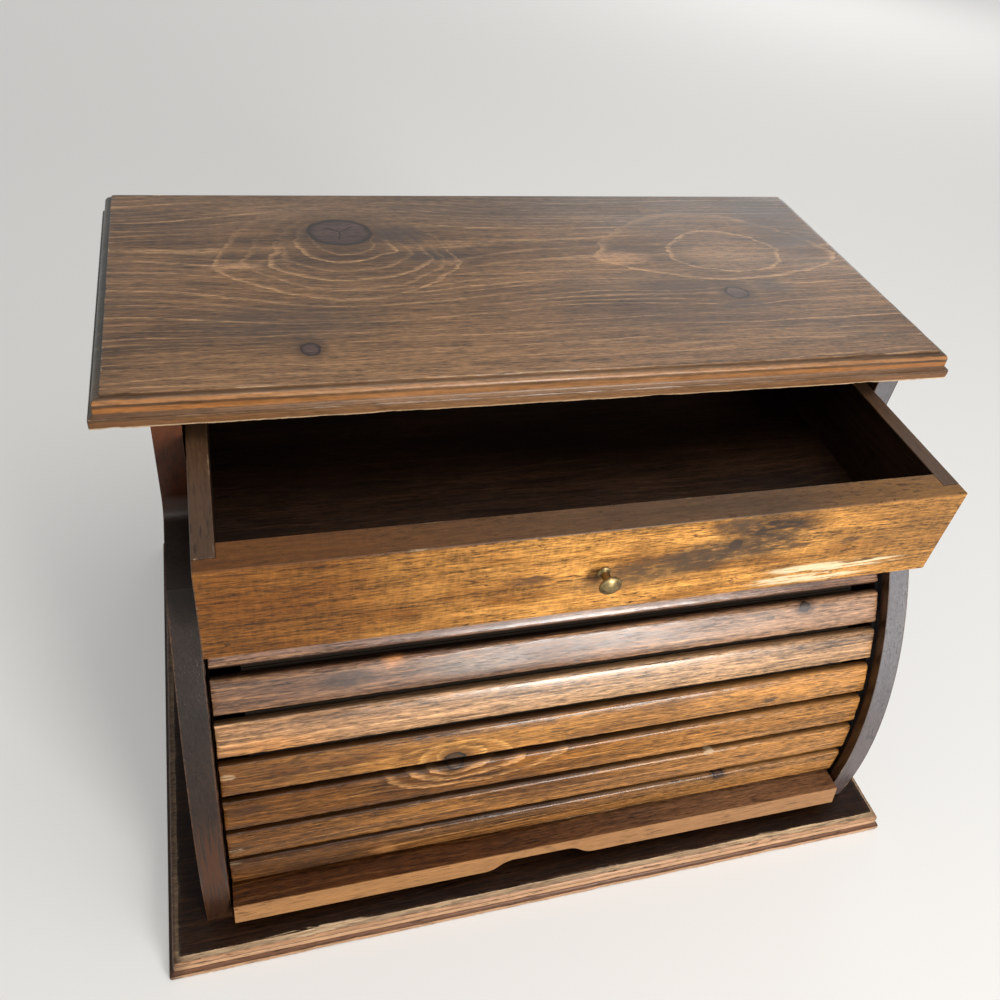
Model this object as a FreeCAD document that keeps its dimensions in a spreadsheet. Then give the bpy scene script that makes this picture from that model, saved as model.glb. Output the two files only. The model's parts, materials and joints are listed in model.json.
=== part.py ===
import FreeCAD, Part
import Sketcher
import math
import os
import re

from FreeCAD import Placement, Rotation, Vector

# Bread box with a drawer under its top and a tambour, a roll front of slats on canvas, below it.
# Origin: centre of the base board's underside. +X is to the right, -Y is the front, +Z is up.
# Lengths are in millimetres. The drawer is drawn out and the tambour is down.

doc = FreeCAD.newDocument("BreadBox")

# ---------------------------------------------------------------- sizes

sizes = {
    # moulded boards at the top and the foot
    "top_thickness": 20,
    "top_overhang": 33.6,
    "top_front_overhang": 9,
    "base_thickness": 18,
    "base_overhang": 28.6,
    "base_front_overhang": 28.3,
    "moulding_step": 1.5,
    "moulding_bead": 3.5,
    "moulding_fall": 5,
    "moulding_cove": 3,
    # side panels
    "case_width": 542.8,
    "side_height": 349,
    "side_thickness": 18,
    "side_setback": 8,
    "neck_depth": 255,
    "arc_radius": 348,
    "arc_centre_in": 61.7,
    "arc_centre_up": 37,
    "shoulder_lift": 5.8,
    "shoulder_rise": 6.3,
    "shoulder_round": 13,
    # back panel and the shelf under the drawer
    "back_thickness": 6,
    "shelf_up": 261.6,
    "shelf_thickness": 10,
    "shelf_recess": 1.5,
    "shelf_round": 3,
    "dado_depth": 5,
    # drawer
    "drawer_top_gap": 13.9,
    "drawer_side_gap": 1.5,
    "drawer_glide_gap": 0.3,
    "drawer_stop_gap": 0.3,
    "drawer_out": 120,
    "drawer_front_thickness": 22,
    "drawer_lap": 10,
    "drawer_side_thickness": 13,
    "drawer_back_thickness": 13,
    "drawer_bottom_thickness": 5,
    "drawer_bottom_up": 7,
    "drawer_groove_depth": 5,
    "panel_gap": 0.1,
    # knob and its screw
    "knob_offset": -7.5,
    "knob_flange_diameter": 9,
    "knob_flange": 1.2,
    "knob_neck_diameter": 5.6,
    "knob_neck": 11,
    "knob_diameter": 15,
    "knob_rim": 2.4,
    "knob_dome": 2.2,
    "knob_thread_diameter": 4,
    "knob_thread_depth": 10,
    "knob_screw_head_diameter": 7.5,
    "knob_screw_head": 2,
    # tambour
    "slat_recess": 8.5,
    "slat_width": 26.4,
    "slat_thickness": 8,
    "slat_gap": 4.8,
    "slat_round": 3,
    "slat_end_gap": 1.9,
    "canvas_thickness": 0.8,
    "canvas_gap": 0.3,
    "canvas_margin": 20,
    "track_drop": 5.6,
    "groove_depth": 6,
    "groove_gap": 0.3,
    "groove_stop": 60,
    "tongue_end_gap": 0.5,
    "bend_radius": 40,
    # pull rail at the tambour's lower edge
    "rail_floor_gap": 0.3,
    "rail_height": 29.9,
    "rail_joint_gap": 1.6,
    "rail_body": 11.8,
    "rail_top": 23.2,
    "rail_face": 17,
    "rail_lean": 3.4,
    "rail_cove": 4,
    "scoop_length": 92,
    "scoop_end": 24,
    "scoop_height": 8.5,
    "scoop_depth": 10,
    "scoop_offset": -18,
    # fasteners
    "screw_head_diameter": 8,
    "screw_head": 3,
    "screw_shank_diameter": 4,
    "screw_length": 40,
    "screw_slot": 1,
    "nail_head_diameter": 3,
    "nail_head": 0.8,
    "nail_shank_diameter": 1.6,
    "nail_length": 22,
    "dowel_diameter": 8,
    "dowel_in_top": 10,
    "dowel_in_side": 20,
    "bore_gap": 0.05,
    "fastener_inset": 25,
}

sheet = doc.addObject("Spreadsheet::Sheet", "Sizes")
for row, (alias, number) in enumerate(sizes.items(), start=1):
    sheet.set(f"A{row}", str(number))
    sheet.setAlias(f"A{row}", alias)

# What follows from the sizes. Heights and depths are in the object's own frame.
worked_out = {
    "moulding_inset": "moulding_step + moulding_bead + moulding_cove",
    "top_length": "case_width + 2 * top_overhang",
    "top_depth": "side_setback + neck_depth + top_front_overhang",
    "base_length": "case_width + 2 * base_overhang",
    "base_depth": "side_setback + arc_centre_in + arc_radius + base_front_overhang",
    "back_y": "base_depth / 2 - side_setback",
    "top_z": "base_thickness + side_height",
    "side_x": "case_width / 2 - side_thickness",
    "side_middle": "case_width / 2 - side_thickness / 2",
    "arc_y": "back_y - arc_centre_in",
    "arc_z": "base_thickness + arc_centre_up",
    "foot_in": "arc_centre_in + sqrt(arc_radius^2 - arc_centre_up^2)",
    "shoulder_up": "shelf_up + shoulder_lift",
    "shoulder_in": "arc_centre_in + sqrt(arc_radius^2 - (shoulder_up - arc_centre_up)^2)",
    "shelf_z": "base_thickness + shelf_up",
    "shelf_depth": "shoulder_in - shelf_recess",
    "drawer_width": "2 * side_x - 2 * drawer_side_gap",
    "drawer_height": "side_height - shelf_up - drawer_glide_gap - drawer_top_gap",
    "drawer_depth": "neck_depth - drawer_stop_gap",
    "drawer_y": "back_y - neck_depth - drawer_out",
    "drawer_z": "shelf_z + drawer_glide_gap",
    "cheek_x": "drawer_width / 2 - drawer_side_thickness",
    "hinge_radius": "arc_radius - slat_recess - slat_thickness - canvas_thickness",
    "slat_pitch": "slat_width + slat_gap",
    "slat_length": "2 * side_x - 2 * slat_end_gap",
    "groove_top": "shelf_z - shelf_thickness - track_drop",
    "track_z": "groove_top - groove_gap - slat_thickness - canvas_thickness",
    "bend_z": "track_z - bend_radius",
    "bend_sine": "(bend_z - arc_z) / (hinge_radius - bend_radius)",
    "bend_cosine": "sqrt(1 - bend_sine^2)",
    "bend_y": "arc_y - (hinge_radius - bend_radius) * bend_cosine",
    "rail_joint_z": "base_thickness + rail_floor_gap + rail_height + rail_joint_gap",
    "rail_joint_y": "arc_y - sqrt(hinge_radius^2 - (rail_joint_z - arc_z)^2)",
}

worked = doc.addObject("App::VarSet", "Worked")
for name, formula in worked_out.items():
    worked.addProperty("App::PropertyFloat", name)


def qualified(formula):
    """The formula with each name led by the object that holds it."""
    def lead(match):
        word = match.group(0)
        if word in sizes:
            return "Sizes." + word
        if word in worked_out:
            return "Worked." + word
        return word
    return re.sub(r"[a-z_]+", lead, str(formula))


for name, formula in worked_out.items():
    worked.setExpression(name, qualified(formula))
doc.recompute()


def value(formula):
    return float(doc.Worked.evalExpression(qualified(formula)))


# ---------------------------------------------------------------- making pieces

def bind(thing, **formulas):
    for name, formula in formulas.items():
        thing.setExpression(name, qualified(formula))


def place(thing, x=0, y=0, z=0, turn=None):
    """Puts a sub-part's own origin at formulas x, y, z, turned by a rotation."""
    thing.Placement = Placement(Vector(), turn or Rotation())
    for axis, formula in zip("xyz", (x, y, z)):
        thing.setExpression("Placement.Base." + axis, qualified(formula))
    return thing


def new_body(name):
    body = doc.addObject("PartDesign::Body", name)
    body.Label = name
    return body


def new_sketch(body, plane, offset=0):
    """An empty sketch on one of the body's own planes, moved out by the offset."""
    sketch = body.newObject("Sketcher::SketchObject", f"{body.Name}_sketch")
    feature = next(f for f in body.Origin.OriginFeatures if f.Role == plane + "_Plane")
    sketch.AttachmentSupport = [(feature, "")]
    sketch.MapMode = "FlatFace"
    sketch.setExpression("AttachmentOffset.Base.z", qualified(offset))
    return sketch


def fix(sketch, kind, *where, formula):
    """Adds a constraint whose size follows the formula."""
    index = sketch.addConstraint(Sketcher.Constraint(kind, *where, value(formula)))
    sketch.setExpression(f"Constraints[{index}]", qualified(formula))


def arc_between(start, end, radius, side):
    """The short arc from start to end, with its centre on the left (side 1) or right (-1)."""
    chord = end - start
    height = math.sqrt(max(radius**2 - (chord.Length / 2)**2, 0))
    across = Vector(-chord.y, chord.x, 0).normalize()
    centre = (start + end) * 0.5 + across * height * side
    angles = [math.atan2(point.y - centre.y, point.x - centre.x) for point in (start, end)]
    circle = Part.Circle(centre, Vector(0, 0, 1), radius)
    return Part.ArcOfCircle(circle, *(angles if side > 0 else reversed(angles)))


def outline(sketch, corners):
    """A closed outline. Each corner is (across, up) and, where an arc leads to it,
    the arc's radius and the side of its centre."""
    first = sketch.GeometryCount
    points = [Vector(value(corner[0]), value(corner[1]), 0) for corner in corners]
    ends = []
    for index, corner in enumerate(corners):
        start = points[index - 1]
        end = points[index]
        if len(corner) == 2:
            sketch.addGeometry(Part.LineSegment(start, end))
            ends.append((1, 2))
        else:
            radius, side = corner[2:]
            sketch.addGeometry(arc_between(start, end, value(radius), side))
            ends.append((1, 2) if side > 0 else (2, 1))
    for index, corner in enumerate(corners):
        edge = first + index
        following = (index + 1) % len(corners)
        sketch.addConstraint(Sketcher.Constraint(
            "Coincident", edge, ends[index][1], first + following, ends[following][0]))
        fix(sketch, "DistanceX", -1, 1, edge, ends[index][1], formula=corner[0])
        fix(sketch, "DistanceY", -1, 1, edge, ends[index][1], formula=corner[1])
        if len(corner) > 2:
            fix(sketch, "Radius", edge, formula=corner[2])


def rectangle(sketch, left, right, low, high):
    outline(sketch, [(left, low), (right, low), (right, high), (left, high)])


def circles(sketch, centres, diameter):
    for across, up in centres:
        index = sketch.addGeometry(Part.Circle(
            Vector(value(across), value(up), 0), Vector(0, 0, 1), value(diameter) / 2))
        fix(sketch, "DistanceX", -1, 1, index, 3, formula=across)
        fix(sketch, "DistanceY", -1, 1, index, 3, formula=up)
        fix(sketch, "Diameter", index, formula=diameter)


def pad(body, sketch, length, both_ways=False):
    feature = body.newObject("PartDesign::Pad", f"{body.Name}_pad")
    feature.Profile = sketch
    feature.Midplane = both_ways
    bind(feature, Length=length)
    doc.recompute()
    return feature


def pocket(body, sketch, length, forward=False, both_ways=False):
    """Cuts the sketch's regions away, against its plane's normal or forward along it."""
    before = body.Shape.Volume
    feature = body.newObject("PartDesign::Pocket", f"{body.Name}_pocket")
    feature.Profile = sketch
    feature.Reversed = forward
    feature.Midplane = both_ways
    bind(feature, Length=length)
    doc.recompute()
    if not body.Shape.Volume < before:
        raise RuntimeError(f"{feature.Name} cuts nothing")
    return feature


def revolve(body, corners):
    """Turns an outline in the XZ plane about the Z axis."""
    sketch = new_sketch(body, "XZ")
    outline(sketch, corners)
    feature = body.newObject("PartDesign::Revolution", f"{body.Name}_turn")
    feature.Profile = sketch
    feature.ReferenceAxis = (sketch, ["V_Axis"])
    feature.Angle = 360
    doc.recompute()


def board(name, width, depth, height):
    """A plain board, centred across X, that runs back and up from its own origin."""
    body = new_body(name)
    sketch = new_sketch(body, "XY")
    rectangle(sketch, f"-({width}) / 2", f"({width}) / 2", 0, depth)
    pad(body, sketch, height)
    return body


def drill(body, plane, centres, face, shank, depth, head=None, inward=1):
    """Round holes into the face that lies at an offset along the plane's normal.
    Inward is 1 where the holes run against that normal, -1 where they run along it.
    A head's (diameter, depth) adds a wider mouth."""
    for diameter, length in ((shank, depth), head) if head else ((shank, depth),):
        sketch = new_sketch(body, plane, face)
        circles(sketch, centres, f"{diameter} + 2 * bore_gap")
        pocket(body, sketch, length, forward=inward < 0)


def fasteners(name, one, spots):
    """Copies of one fastener as a group of separate solids. Each spot is a position
    and the direction in which the fastener points."""
    copies = []
    for position, direction in spots:
        copy = one.Shape.copy()
        turn = Rotation(Vector(0, 0, 1), Vector(*direction))
        copy.Placement = Placement(Vector(*map(value, position)), turn)
        copies.append(copy)
    group = doc.addObject("Part::Feature", name)
    group.Label = name
    group.Shape = Part.makeCompound(copies)
    return group


nodes = []

# ---------------------------------------------------------------- fasteners' own shapes
# Each stands on its head's outer face at z = 0 and points up.

wood_screw = new_body("wood_screw")
revolve(wood_screw, [
    (0, 0),
    ("screw_head_diameter / 2", 0),
    ("screw_shank_diameter / 2", "screw_head"),
    ("screw_shank_diameter / 2", "screw_length - screw_shank_diameter"),
    (0, "screw_length"),
])
slot = new_sketch(wood_screw, "XY")
rectangle(slot, "-screw_head_diameter", "screw_head_diameter", "-screw_slot / 2", "screw_slot / 2")
pocket(wood_screw, slot, "screw_slot", forward=True)

nail = new_body("nail")
revolve(nail, [
    (0, 0),
    ("nail_head_diameter / 2", 0),
    ("nail_head_diameter / 2", "nail_head"),
    ("nail_shank_diameter / 2", "nail_head"),
    ("nail_shank_diameter / 2", "nail_length - nail_shank_diameter"),
    (0, "nail_length"),
])

dowel = doc.addObject("Part::Cylinder", "dowel")
bind(dowel, Radius="dowel_diameter / 2", Height="dowel_in_side + dowel_in_top")

# ---------------------------------------------------------------- where the fasteners go

# screws up through the base into the side panels
screw_ys = [
    "back_y - fastener_inset",
    "back_y - foot_in / 2",
    "back_y - foot_in + fastener_inset",
]
# dowels between the side panels and the top
dowel_ys = [
    "back_y - fastener_inset",
    "back_y - neck_depth / 2",
    "back_y - neck_depth + fastener_inset",
]
# nails through the back panel into the side panels and the shelf
back_nail_count = 5
back_nail_zs = [
    f"base_thickness + fastener_inset + (side_height - 2 * fastener_inset) * {step / (back_nail_count - 1)}"
    for step in range(back_nail_count)
]
shelf_nail_xs = ["-case_width / 4", "0", "case_width / 4"]
shelf_nail_z = "shelf_z - shelf_thickness / 2"
# nails through the drawer's sides into its front and its back, seen from the drawer's origin
front_nail_y = "(drawer_lap + drawer_front_thickness) / 2"
back_nail_y = "drawer_depth - drawer_back_thickness / 2"
front_nail_shares = (0.2, 0.5, 0.8)
back_board_nail_shares = (0.35, 0.75)
front_nail_zs = [f"drawer_height * {share}" for share in front_nail_shares]
back_board_nail_zs = [f"drawer_height * {share}" for share in back_board_nail_shares]

# ---------------------------------------------------------------- case


def moulded_board(name, length, depth, thickness):
    """A board whose front and ends carry a step, a bead, a fall and a cove above a lip.
    Its own origin is at the middle of its back edge, on its underside."""
    body = new_body(name)
    sketch = new_sketch(body, "XY")
    rectangle(sketch, f"-{length} / 2", f"{length} / 2", f"-{depth}", 0)
    pad(body, sketch, thickness)

    clear = "moulding_step"
    bead_z = f"{thickness} - moulding_step - moulding_bead"

    def moulding(edge, toward):
        """The waste along one edge; toward is the sign of the way out of the board."""
        def out(inset):
            return f"{edge} - ({toward}) * ({inset})"
        return [
            (out(f"-{clear}"), f"{thickness} + {clear}"),
            (out("moulding_inset"), f"{thickness} + {clear}"),
            (out("moulding_inset"), f"{thickness} - moulding_step"),
            (out("moulding_bead + moulding_cove"), f"{thickness} - moulding_step"),
            (out("moulding_cove"), bead_z, "moulding_bead", -toward),
            (out("moulding_cove"), f"{bead_z} - moulding_fall"),
            (out("0"), f"{bead_z} - moulding_fall - moulding_cove", "moulding_cove", toward),
            (out(f"-{clear}"), f"{bead_z} - moulding_fall - moulding_cove"),
        ]

    front = new_sketch(body, "YZ")
    outline(front, moulding(f"-{depth}", -1))
    pocket(body, front, f"2 * {length}", both_ways=True)
    ends = new_sketch(body, "XZ")
    outline(ends, moulding(f"-{length} / 2", -1))
    outline(ends, moulding(f"{length} / 2", 1))
    pocket(body, ends, f"4 * {depth}", both_ways=True)
    return body


top_board = moulded_board("top_board", "top_length", "top_depth", "top_thickness")
place(top_board, 0, "base_depth / 2", "top_z")
for side in ("-", ""):
    drill(top_board, "XY", [(f"{side}side_middle", f"{y} - base_depth / 2") for y in dowel_ys],
          0, "dowel_diameter", "dowel_in_top + bore_gap", inward=-1)
nodes.append(top_board)

base_board = moulded_board("base_board", "base_length", "base_depth", "base_thickness")
place(base_board, 0, "base_depth / 2", 0)
for side in ("-", ""):
    drill(base_board, "XY", [(f"{side}side_middle", f"{y} - base_depth / 2") for y in screw_ys],
          0, "screw_shank_diameter", "base_thickness", inward=-1)
nodes.append(base_board)


def countersink(body, centres):
    """Cone-shaped mouths, on the underside, for screws' heads."""
    for x, y in centres:
        cone = body.newObject("PartDesign::SubtractiveCone", f"{body.Name}_countersink")
        bind(cone, Radius1="screw_head_diameter / 2 + bore_gap",
             Radius2="screw_shank_diameter / 2 + bore_gap", Height="screw_head")
        feature = next(f for f in body.Origin.OriginFeatures if f.Role == "XY_Plane")
        cone.AttachmentSupport = [(feature, "")]
        cone.MapMode = "FlatFace"
        cone.setExpression("AttachmentOffset.Base.x", qualified(x))
        cone.setExpression("AttachmentOffset.Base.y", qualified(y))
    doc.recompute()


countersink(base_board, [
    (f"{side}side_middle", f"{y} - base_depth / 2") for side in ("-", "") for y in screw_ys])


def side_panel(name, side):
    """A side panel, side -1 on the left and 1 on the right. Its own origin is at the foot
    of its back edge, on its inner face, so forward is -Y."""
    body = new_body(name)
    sketch = new_sketch(body, "YZ")
    outline(sketch, [
        (0, 0),
        (0, "side_height"),
        ("-neck_depth", "side_height"),
        ("-neck_depth", "shoulder_up + shoulder_rise"),
        ("-shoulder_in", "shoulder_up"),
        ("-foot_in", 0, "arc_radius", 1),
    ])
    panel = pad(body, sketch, "side_thickness")
    panel.Reversed = side < 0
    doc.recompute()

    # the inside corner between the shoulder and the neck
    corner = Vector(0, -value("neck_depth"), value("shoulder_up + shoulder_rise"))
    for number, edge in enumerate(body.Shape.Edges, start=1):
        if all(Vector(0, v.Y, v.Z).distanceToPoint(corner) < 0.01 for v in edge.Vertexes):
            rounding = body.newObject("PartDesign::Fillet", f"{name}_round")
            rounding.Base = (panel, [f"Edge{number}"])
            bind(rounding, Radius="shoulder_round")
    doc.recompute()

    # the shelf's dado
    dado = new_sketch(body, "YZ")
    rectangle(dado, "-shelf_depth - panel_gap", "side_setback",
              "shelf_up - shelf_thickness", "shelf_up")
    pocket(body, dado, "dado_depth + panel_gap", forward=side > 0)

    # the tambour's groove: up the arc, round the bend and back under the shelf
    outer = "hinge_radius + canvas_thickness + slat_thickness + groove_gap"
    inner = "hinge_radius + canvas_thickness - groove_gap"
    outer_bend = "bend_radius + canvas_thickness + slat_thickness + groove_gap"
    inner_bend = "bend_radius + canvas_thickness - groove_gap"
    bend_in = "bend_y - back_y"
    bend_up = "bend_z - base_thickness"

    def on_arc(radius):
        return (f"-arc_centre_in - ({radius}) * bend_cosine",
                f"arc_centre_up + ({radius}) * bend_sine")

    def at_foot(radius):
        """Just below the panel's foot, where the groove runs out."""
        return (f"-arc_centre_in - sqrt(({radius})^2 - (arc_centre_up + groove_gap)^2)", "-groove_gap")

    groove = new_sketch(body, "YZ")
    outline(groove, [
        (*at_foot(inner), inner, 1),
        at_foot(outer),
        (*on_arc(outer), outer, -1),
        (bend_in, f"{bend_up} + {outer_bend}", outer_bend, -1),
        ("-groove_stop", f"{bend_up} + {outer_bend}"),
        ("-groove_stop", f"{bend_up} + {inner_bend}"),
        (bend_in, f"{bend_up} + {inner_bend}"),
        (*on_arc(inner), inner_bend, 1),
    ])
    pocket(body, groove, "groove_depth", forward=side > 0)

    # holes for the dowels above, the screws below and the back's nails
    middle = f"{side} * side_thickness / 2"
    drill(body, "XY", [(middle, f"{y} - back_y") for y in dowel_ys],
          "side_height", "dowel_diameter", "dowel_in_side + bore_gap")
    drill(body, "XY", [(middle, f"{y} - back_y") for y in screw_ys],
          0, "screw_shank_diameter", "screw_length - base_thickness + bore_gap", inward=-1)
    drill(body, "XZ", [(middle, f"{z} - base_thickness") for z in back_nail_zs],
          0, "nail_shank_diameter", "nail_length - back_thickness + bore_gap", inward=-1)
    return place(body, f"{side} * side_x", "back_y", "base_thickness")


nodes.append(side_panel("side_left", -1))
nodes.append(side_panel("side_right", 1))

back_panel = board("back_panel", "case_width", "back_thickness", "side_height")
back_holes = [(f"{side}side_middle", f"{z} - base_thickness") for side in ("-", "") for z in back_nail_zs]
back_holes += [(x, f"{shelf_nail_z} - base_thickness") for x in shelf_nail_xs]
drill(back_panel, "XZ", back_holes, "-back_thickness",
      "nail_shank_diameter", "back_thickness", head=("nail_head_diameter", "nail_head"), inward=-1)
nodes.append(place(back_panel, 0, "back_y", "base_thickness"))

drawer_shelf = new_body("drawer_shelf")
edge = new_sketch(drawer_shelf, "YZ")
outline(edge, [
    (0, "-shelf_thickness"),
    (0, 0),
    ("-shelf_depth + shelf_round", 0),
    ("-shelf_depth", "-shelf_round", "shelf_round", 1),
    ("-shelf_depth", "-shelf_thickness"),
])
pad(drawer_shelf, edge, "2 * side_x + 2 * dado_depth", both_ways=True)
drill(drawer_shelf, "XZ", [(x, f"{shelf_nail_z} - shelf_z") for x in shelf_nail_xs],
      0, "nail_shank_diameter", "nail_length - back_thickness + bore_gap", inward=-1)
nodes.append(place(drawer_shelf, 0, "back_y", "shelf_z"))

up, left, right, forward = (0, 0, 1), (-1, 0, 0), (1, 0, 0), (0, -1, 0)
nodes.append(fasteners("base_screws", wood_screw, [
    ((f"{side}side_middle", y, 0), up) for side in ("-", "") for y in screw_ys]))
nodes.append(fasteners("top_dowels", dowel, [
    ((f"{side}side_middle", y, "top_z - dowel_in_side"), up) for side in ("-", "") for y in dowel_ys]))
back_spots = [(f"{side}side_middle", z) for side in ("-", "") for z in back_nail_zs]
back_spots += [(x, shelf_nail_z) for x in shelf_nail_xs]
nodes.append(fasteners("back_nails", nail, [
    ((x, "back_y + back_thickness", z), forward) for x, z in back_spots]))

# ---------------------------------------------------------------- drawer
# The drawer's own origin is at the middle of its front face's lower edge.

drawer_place = {"y": "drawer_y", "z": "drawer_z"}
bottom_low = "drawer_bottom_up"
bottom_high = "drawer_bottom_up + drawer_bottom_thickness"

drawer_front = board("drawer_front", "drawer_width", "drawer_front_thickness", "drawer_height")
rabbets = new_sketch(drawer_front, "XY")
for side in (-1, 1):
    rectangle(rabbets, *sorted((f"{side} * cheek_x", f"{side} * drawer_width"), key=value),
              "drawer_lap", "2 * drawer_front_thickness")
pocket(drawer_front, rabbets, "2 * drawer_height", both_ways=True)
bottom_groove = new_sketch(drawer_front, "YZ")
rectangle(bottom_groove, "drawer_front_thickness - drawer_groove_depth - panel_gap",
          "2 * drawer_front_thickness", f"{bottom_low} - panel_gap", f"{bottom_high} + panel_gap")
pocket(drawer_front, bottom_groove, "2 * drawer_width", both_ways=True)
drill(drawer_front, "XZ", [("knob_offset", "drawer_height / 2")],
      0, "knob_thread_diameter", "drawer_front_thickness")
for side in (-1, 1):
    drill(drawer_front, "YZ", [(front_nail_y, z) for z in front_nail_zs], f"{side} * cheek_x",
          "nail_shank_diameter", "nail_length - drawer_side_thickness + bore_gap", inward=side)
nodes.append(place(drawer_front, **drawer_place))


def drawer_side(name, side):
    """A drawer side, side -1 on the left and 1 on the right, that runs from the front's lap
    to the drawer's back end. The bottom slides in its groove."""
    body = new_body(name)
    sketch = new_sketch(body, "YZ", f"{side} * drawer_width / 2")
    rectangle(sketch, "drawer_lap", "drawer_depth", 0, "drawer_height")
    plank = pad(body, sketch, "drawer_side_thickness")
    plank.Reversed = side > 0
    doc.recompute()
    groove = new_sketch(body, "YZ", f"{side} * cheek_x")
    rectangle(groove, 0, "2 * drawer_depth", f"{bottom_low} - panel_gap", f"{bottom_high} + panel_gap")
    pocket(body, groove, "drawer_groove_depth + panel_gap", forward=side > 0)
    holes = [(front_nail_y, z) for z in front_nail_zs]
    holes += [(back_nail_y, z) for z in back_board_nail_zs]
    drill(body, "YZ", holes, f"{side} * drawer_width / 2", "nail_shank_diameter",
          "drawer_side_thickness", head=("nail_head_diameter", "nail_head"), inward=side)
    return place(body, **drawer_place)


nodes.append(drawer_side("drawer_side_left", -1))
nodes.append(drawer_side("drawer_side_right", 1))

drawer_back = board("drawer_back", "2 * cheek_x", "drawer_back_thickness",
                    f"drawer_height - ({bottom_high})")
for side in (-1, 1):
    drill(drawer_back, "YZ", [("drawer_back_thickness / 2", f"{z} - ({bottom_high})")
                              for z in back_board_nail_zs], f"{side} * cheek_x",
          "nail_shank_diameter", "nail_length - drawer_side_thickness + bore_gap", inward=side)
nodes.append(place(drawer_back, 0, "drawer_y + drawer_depth - drawer_back_thickness",
                   f"drawer_z + {bottom_high}"))

drawer_bottom = board("drawer_bottom", "2 * cheek_x + 2 * drawer_groove_depth",
                      "drawer_depth - drawer_front_thickness + drawer_groove_depth",
                      "drawer_bottom_thickness")
nodes.append(place(drawer_bottom, 0,
                   "drawer_y + drawer_front_thickness - drawer_groove_depth",
                   f"drawer_z + {bottom_low}"))

drawer_nail_spots = []
for side, inward in ((-1, right), (1, left)):
    x = f"{side} * drawer_width / 2"
    drawer_nail_spots += [
        ((x, f"drawer_y + {front_nail_y}", f"drawer_z + {z}"), inward) for z in front_nail_zs]
    drawer_nail_spots += [
        ((x, f"drawer_y + {back_nail_y}", f"drawer_z + {z}"), inward) for z in back_board_nail_zs]
nodes.append(fasteners("drawer_nails", nail, drawer_nail_spots))

# ---------------------------------------------------------------- knob
# The knob's own Z axis points out of the drawer's front.

outward = Rotation(Vector(0, 0, 1), Vector(0, -1, 0))
knob_place = {"x": "knob_offset", "y": "drawer_y", "z": "drawer_z + drawer_height / 2"}
neck_top = "knob_neck"
rim_top = "knob_neck + knob_rim"

knob = new_body("knob")
revolve(knob, [
    ("knob_thread_diameter / 2", 0),
    ("knob_flange_diameter / 2", 0),
    ("knob_flange_diameter / 2", "knob_flange"),
    ("knob_neck_diameter / 2", "knob_flange + (knob_flange_diameter - knob_neck_diameter) / 2",
     "(knob_flange_diameter - knob_neck_diameter) / 2", -1),
    ("knob_neck_diameter / 2", f"{neck_top} - knob_rim"),
    ("knob_diameter / 2 - knob_rim / 2", neck_top,
     "(knob_diameter - knob_neck_diameter) / 2", -1),
    ("knob_diameter / 2", f"{neck_top} + knob_rim / 2", "knob_rim / 2", 1),
    ("knob_diameter / 2 - knob_rim / 2", rim_top, "knob_rim / 2", 1),
    (0, f"{rim_top} + knob_dome",
     "((knob_diameter / 2 - knob_rim / 2)^2 + knob_dome^2) / (2 * knob_dome)", 1),
    (0, "knob_thread_depth"),
    ("knob_thread_diameter / 2", "knob_thread_depth"),
])
nodes.append(place(knob, **knob_place, turn=outward))

knob_screw = new_body("knob_screw")
revolve(knob_screw, [
    (0, "-drawer_front_thickness - knob_screw_head"),
    ("knob_screw_head_diameter / 2 - knob_screw_head / 2", "-drawer_front_thickness - knob_screw_head"),
    ("knob_screw_head_diameter / 2", "-drawer_front_thickness - knob_screw_head / 2",
     "knob_screw_head / 2", 1),
    ("knob_screw_head_diameter / 2", "-drawer_front_thickness"),
    ("knob_thread_diameter / 2", "-drawer_front_thickness"),
    ("knob_thread_diameter / 2", "knob_thread_depth - bore_gap - knob_thread_diameter / 4"),
    ("knob_thread_diameter / 4", "knob_thread_depth - bore_gap"),
    (0, "knob_thread_depth - bore_gap"),
])
slot = new_sketch(knob_screw, "XY", "-drawer_front_thickness - knob_screw_head")
rectangle(slot, "-knob_screw_head_diameter", "knob_screw_head_diameter",
          "-screw_slot / 2", "screw_slot / 2")
pocket(knob_screw, slot, "knob_screw_head / 2", forward=True)
nodes.append(place(knob_screw, **knob_place, turn=outward))

# ---------------------------------------------------------------- tambour


def on_path(length):
    """A point (y, z) of the canvas's back face, at a length along it from the arc's widest place."""
    radius = value("hinge_radius")
    bend = value("bend_radius")
    bend_start = math.asin(value("bend_sine"))
    arc_length = radius * bend_start
    bend_length = bend * (math.pi / 2 - bend_start)
    if length < arc_length:
        angle = length / radius
        return (value("arc_y") - radius * math.cos(angle), value("arc_z") + radius * math.sin(angle))
    if length < arc_length + bend_length:
        angle = bend_start + (length - arc_length) / bend
        return (value("bend_y") - bend * math.cos(angle), value("bend_z") + bend * math.sin(angle))
    return (value("bend_y") + length - arc_length - bend_length, value("track_z"))


def next_joint(length):
    """The length along the path at which a slat that starts at this length ends."""
    start = on_path(length)
    low = length
    high = length + 2 * value("slat_pitch")
    for _ in range(50):
        middle = (low + high) / 2
        if math.dist(start, on_path(middle)) < value("slat_pitch"):
            low = middle
        else:
            high = middle
    return high


# Slats follow one another up the path until one starts on the straight run: it leads.
joint_lengths = [
    value("hinge_radius") * math.asin(value("(rail_joint_z - arc_z) / hinge_radius"))]
while on_path(joint_lengths[-1])[0] < value("bend_y"):
    joint_lengths.append(next_joint(joint_lengths[-1]))
slat_count = len(joint_lengths) - 1
joint_lengths.append(next_joint(joint_lengths[-1]))
joints = [on_path(length) for length in joint_lengths]


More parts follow.
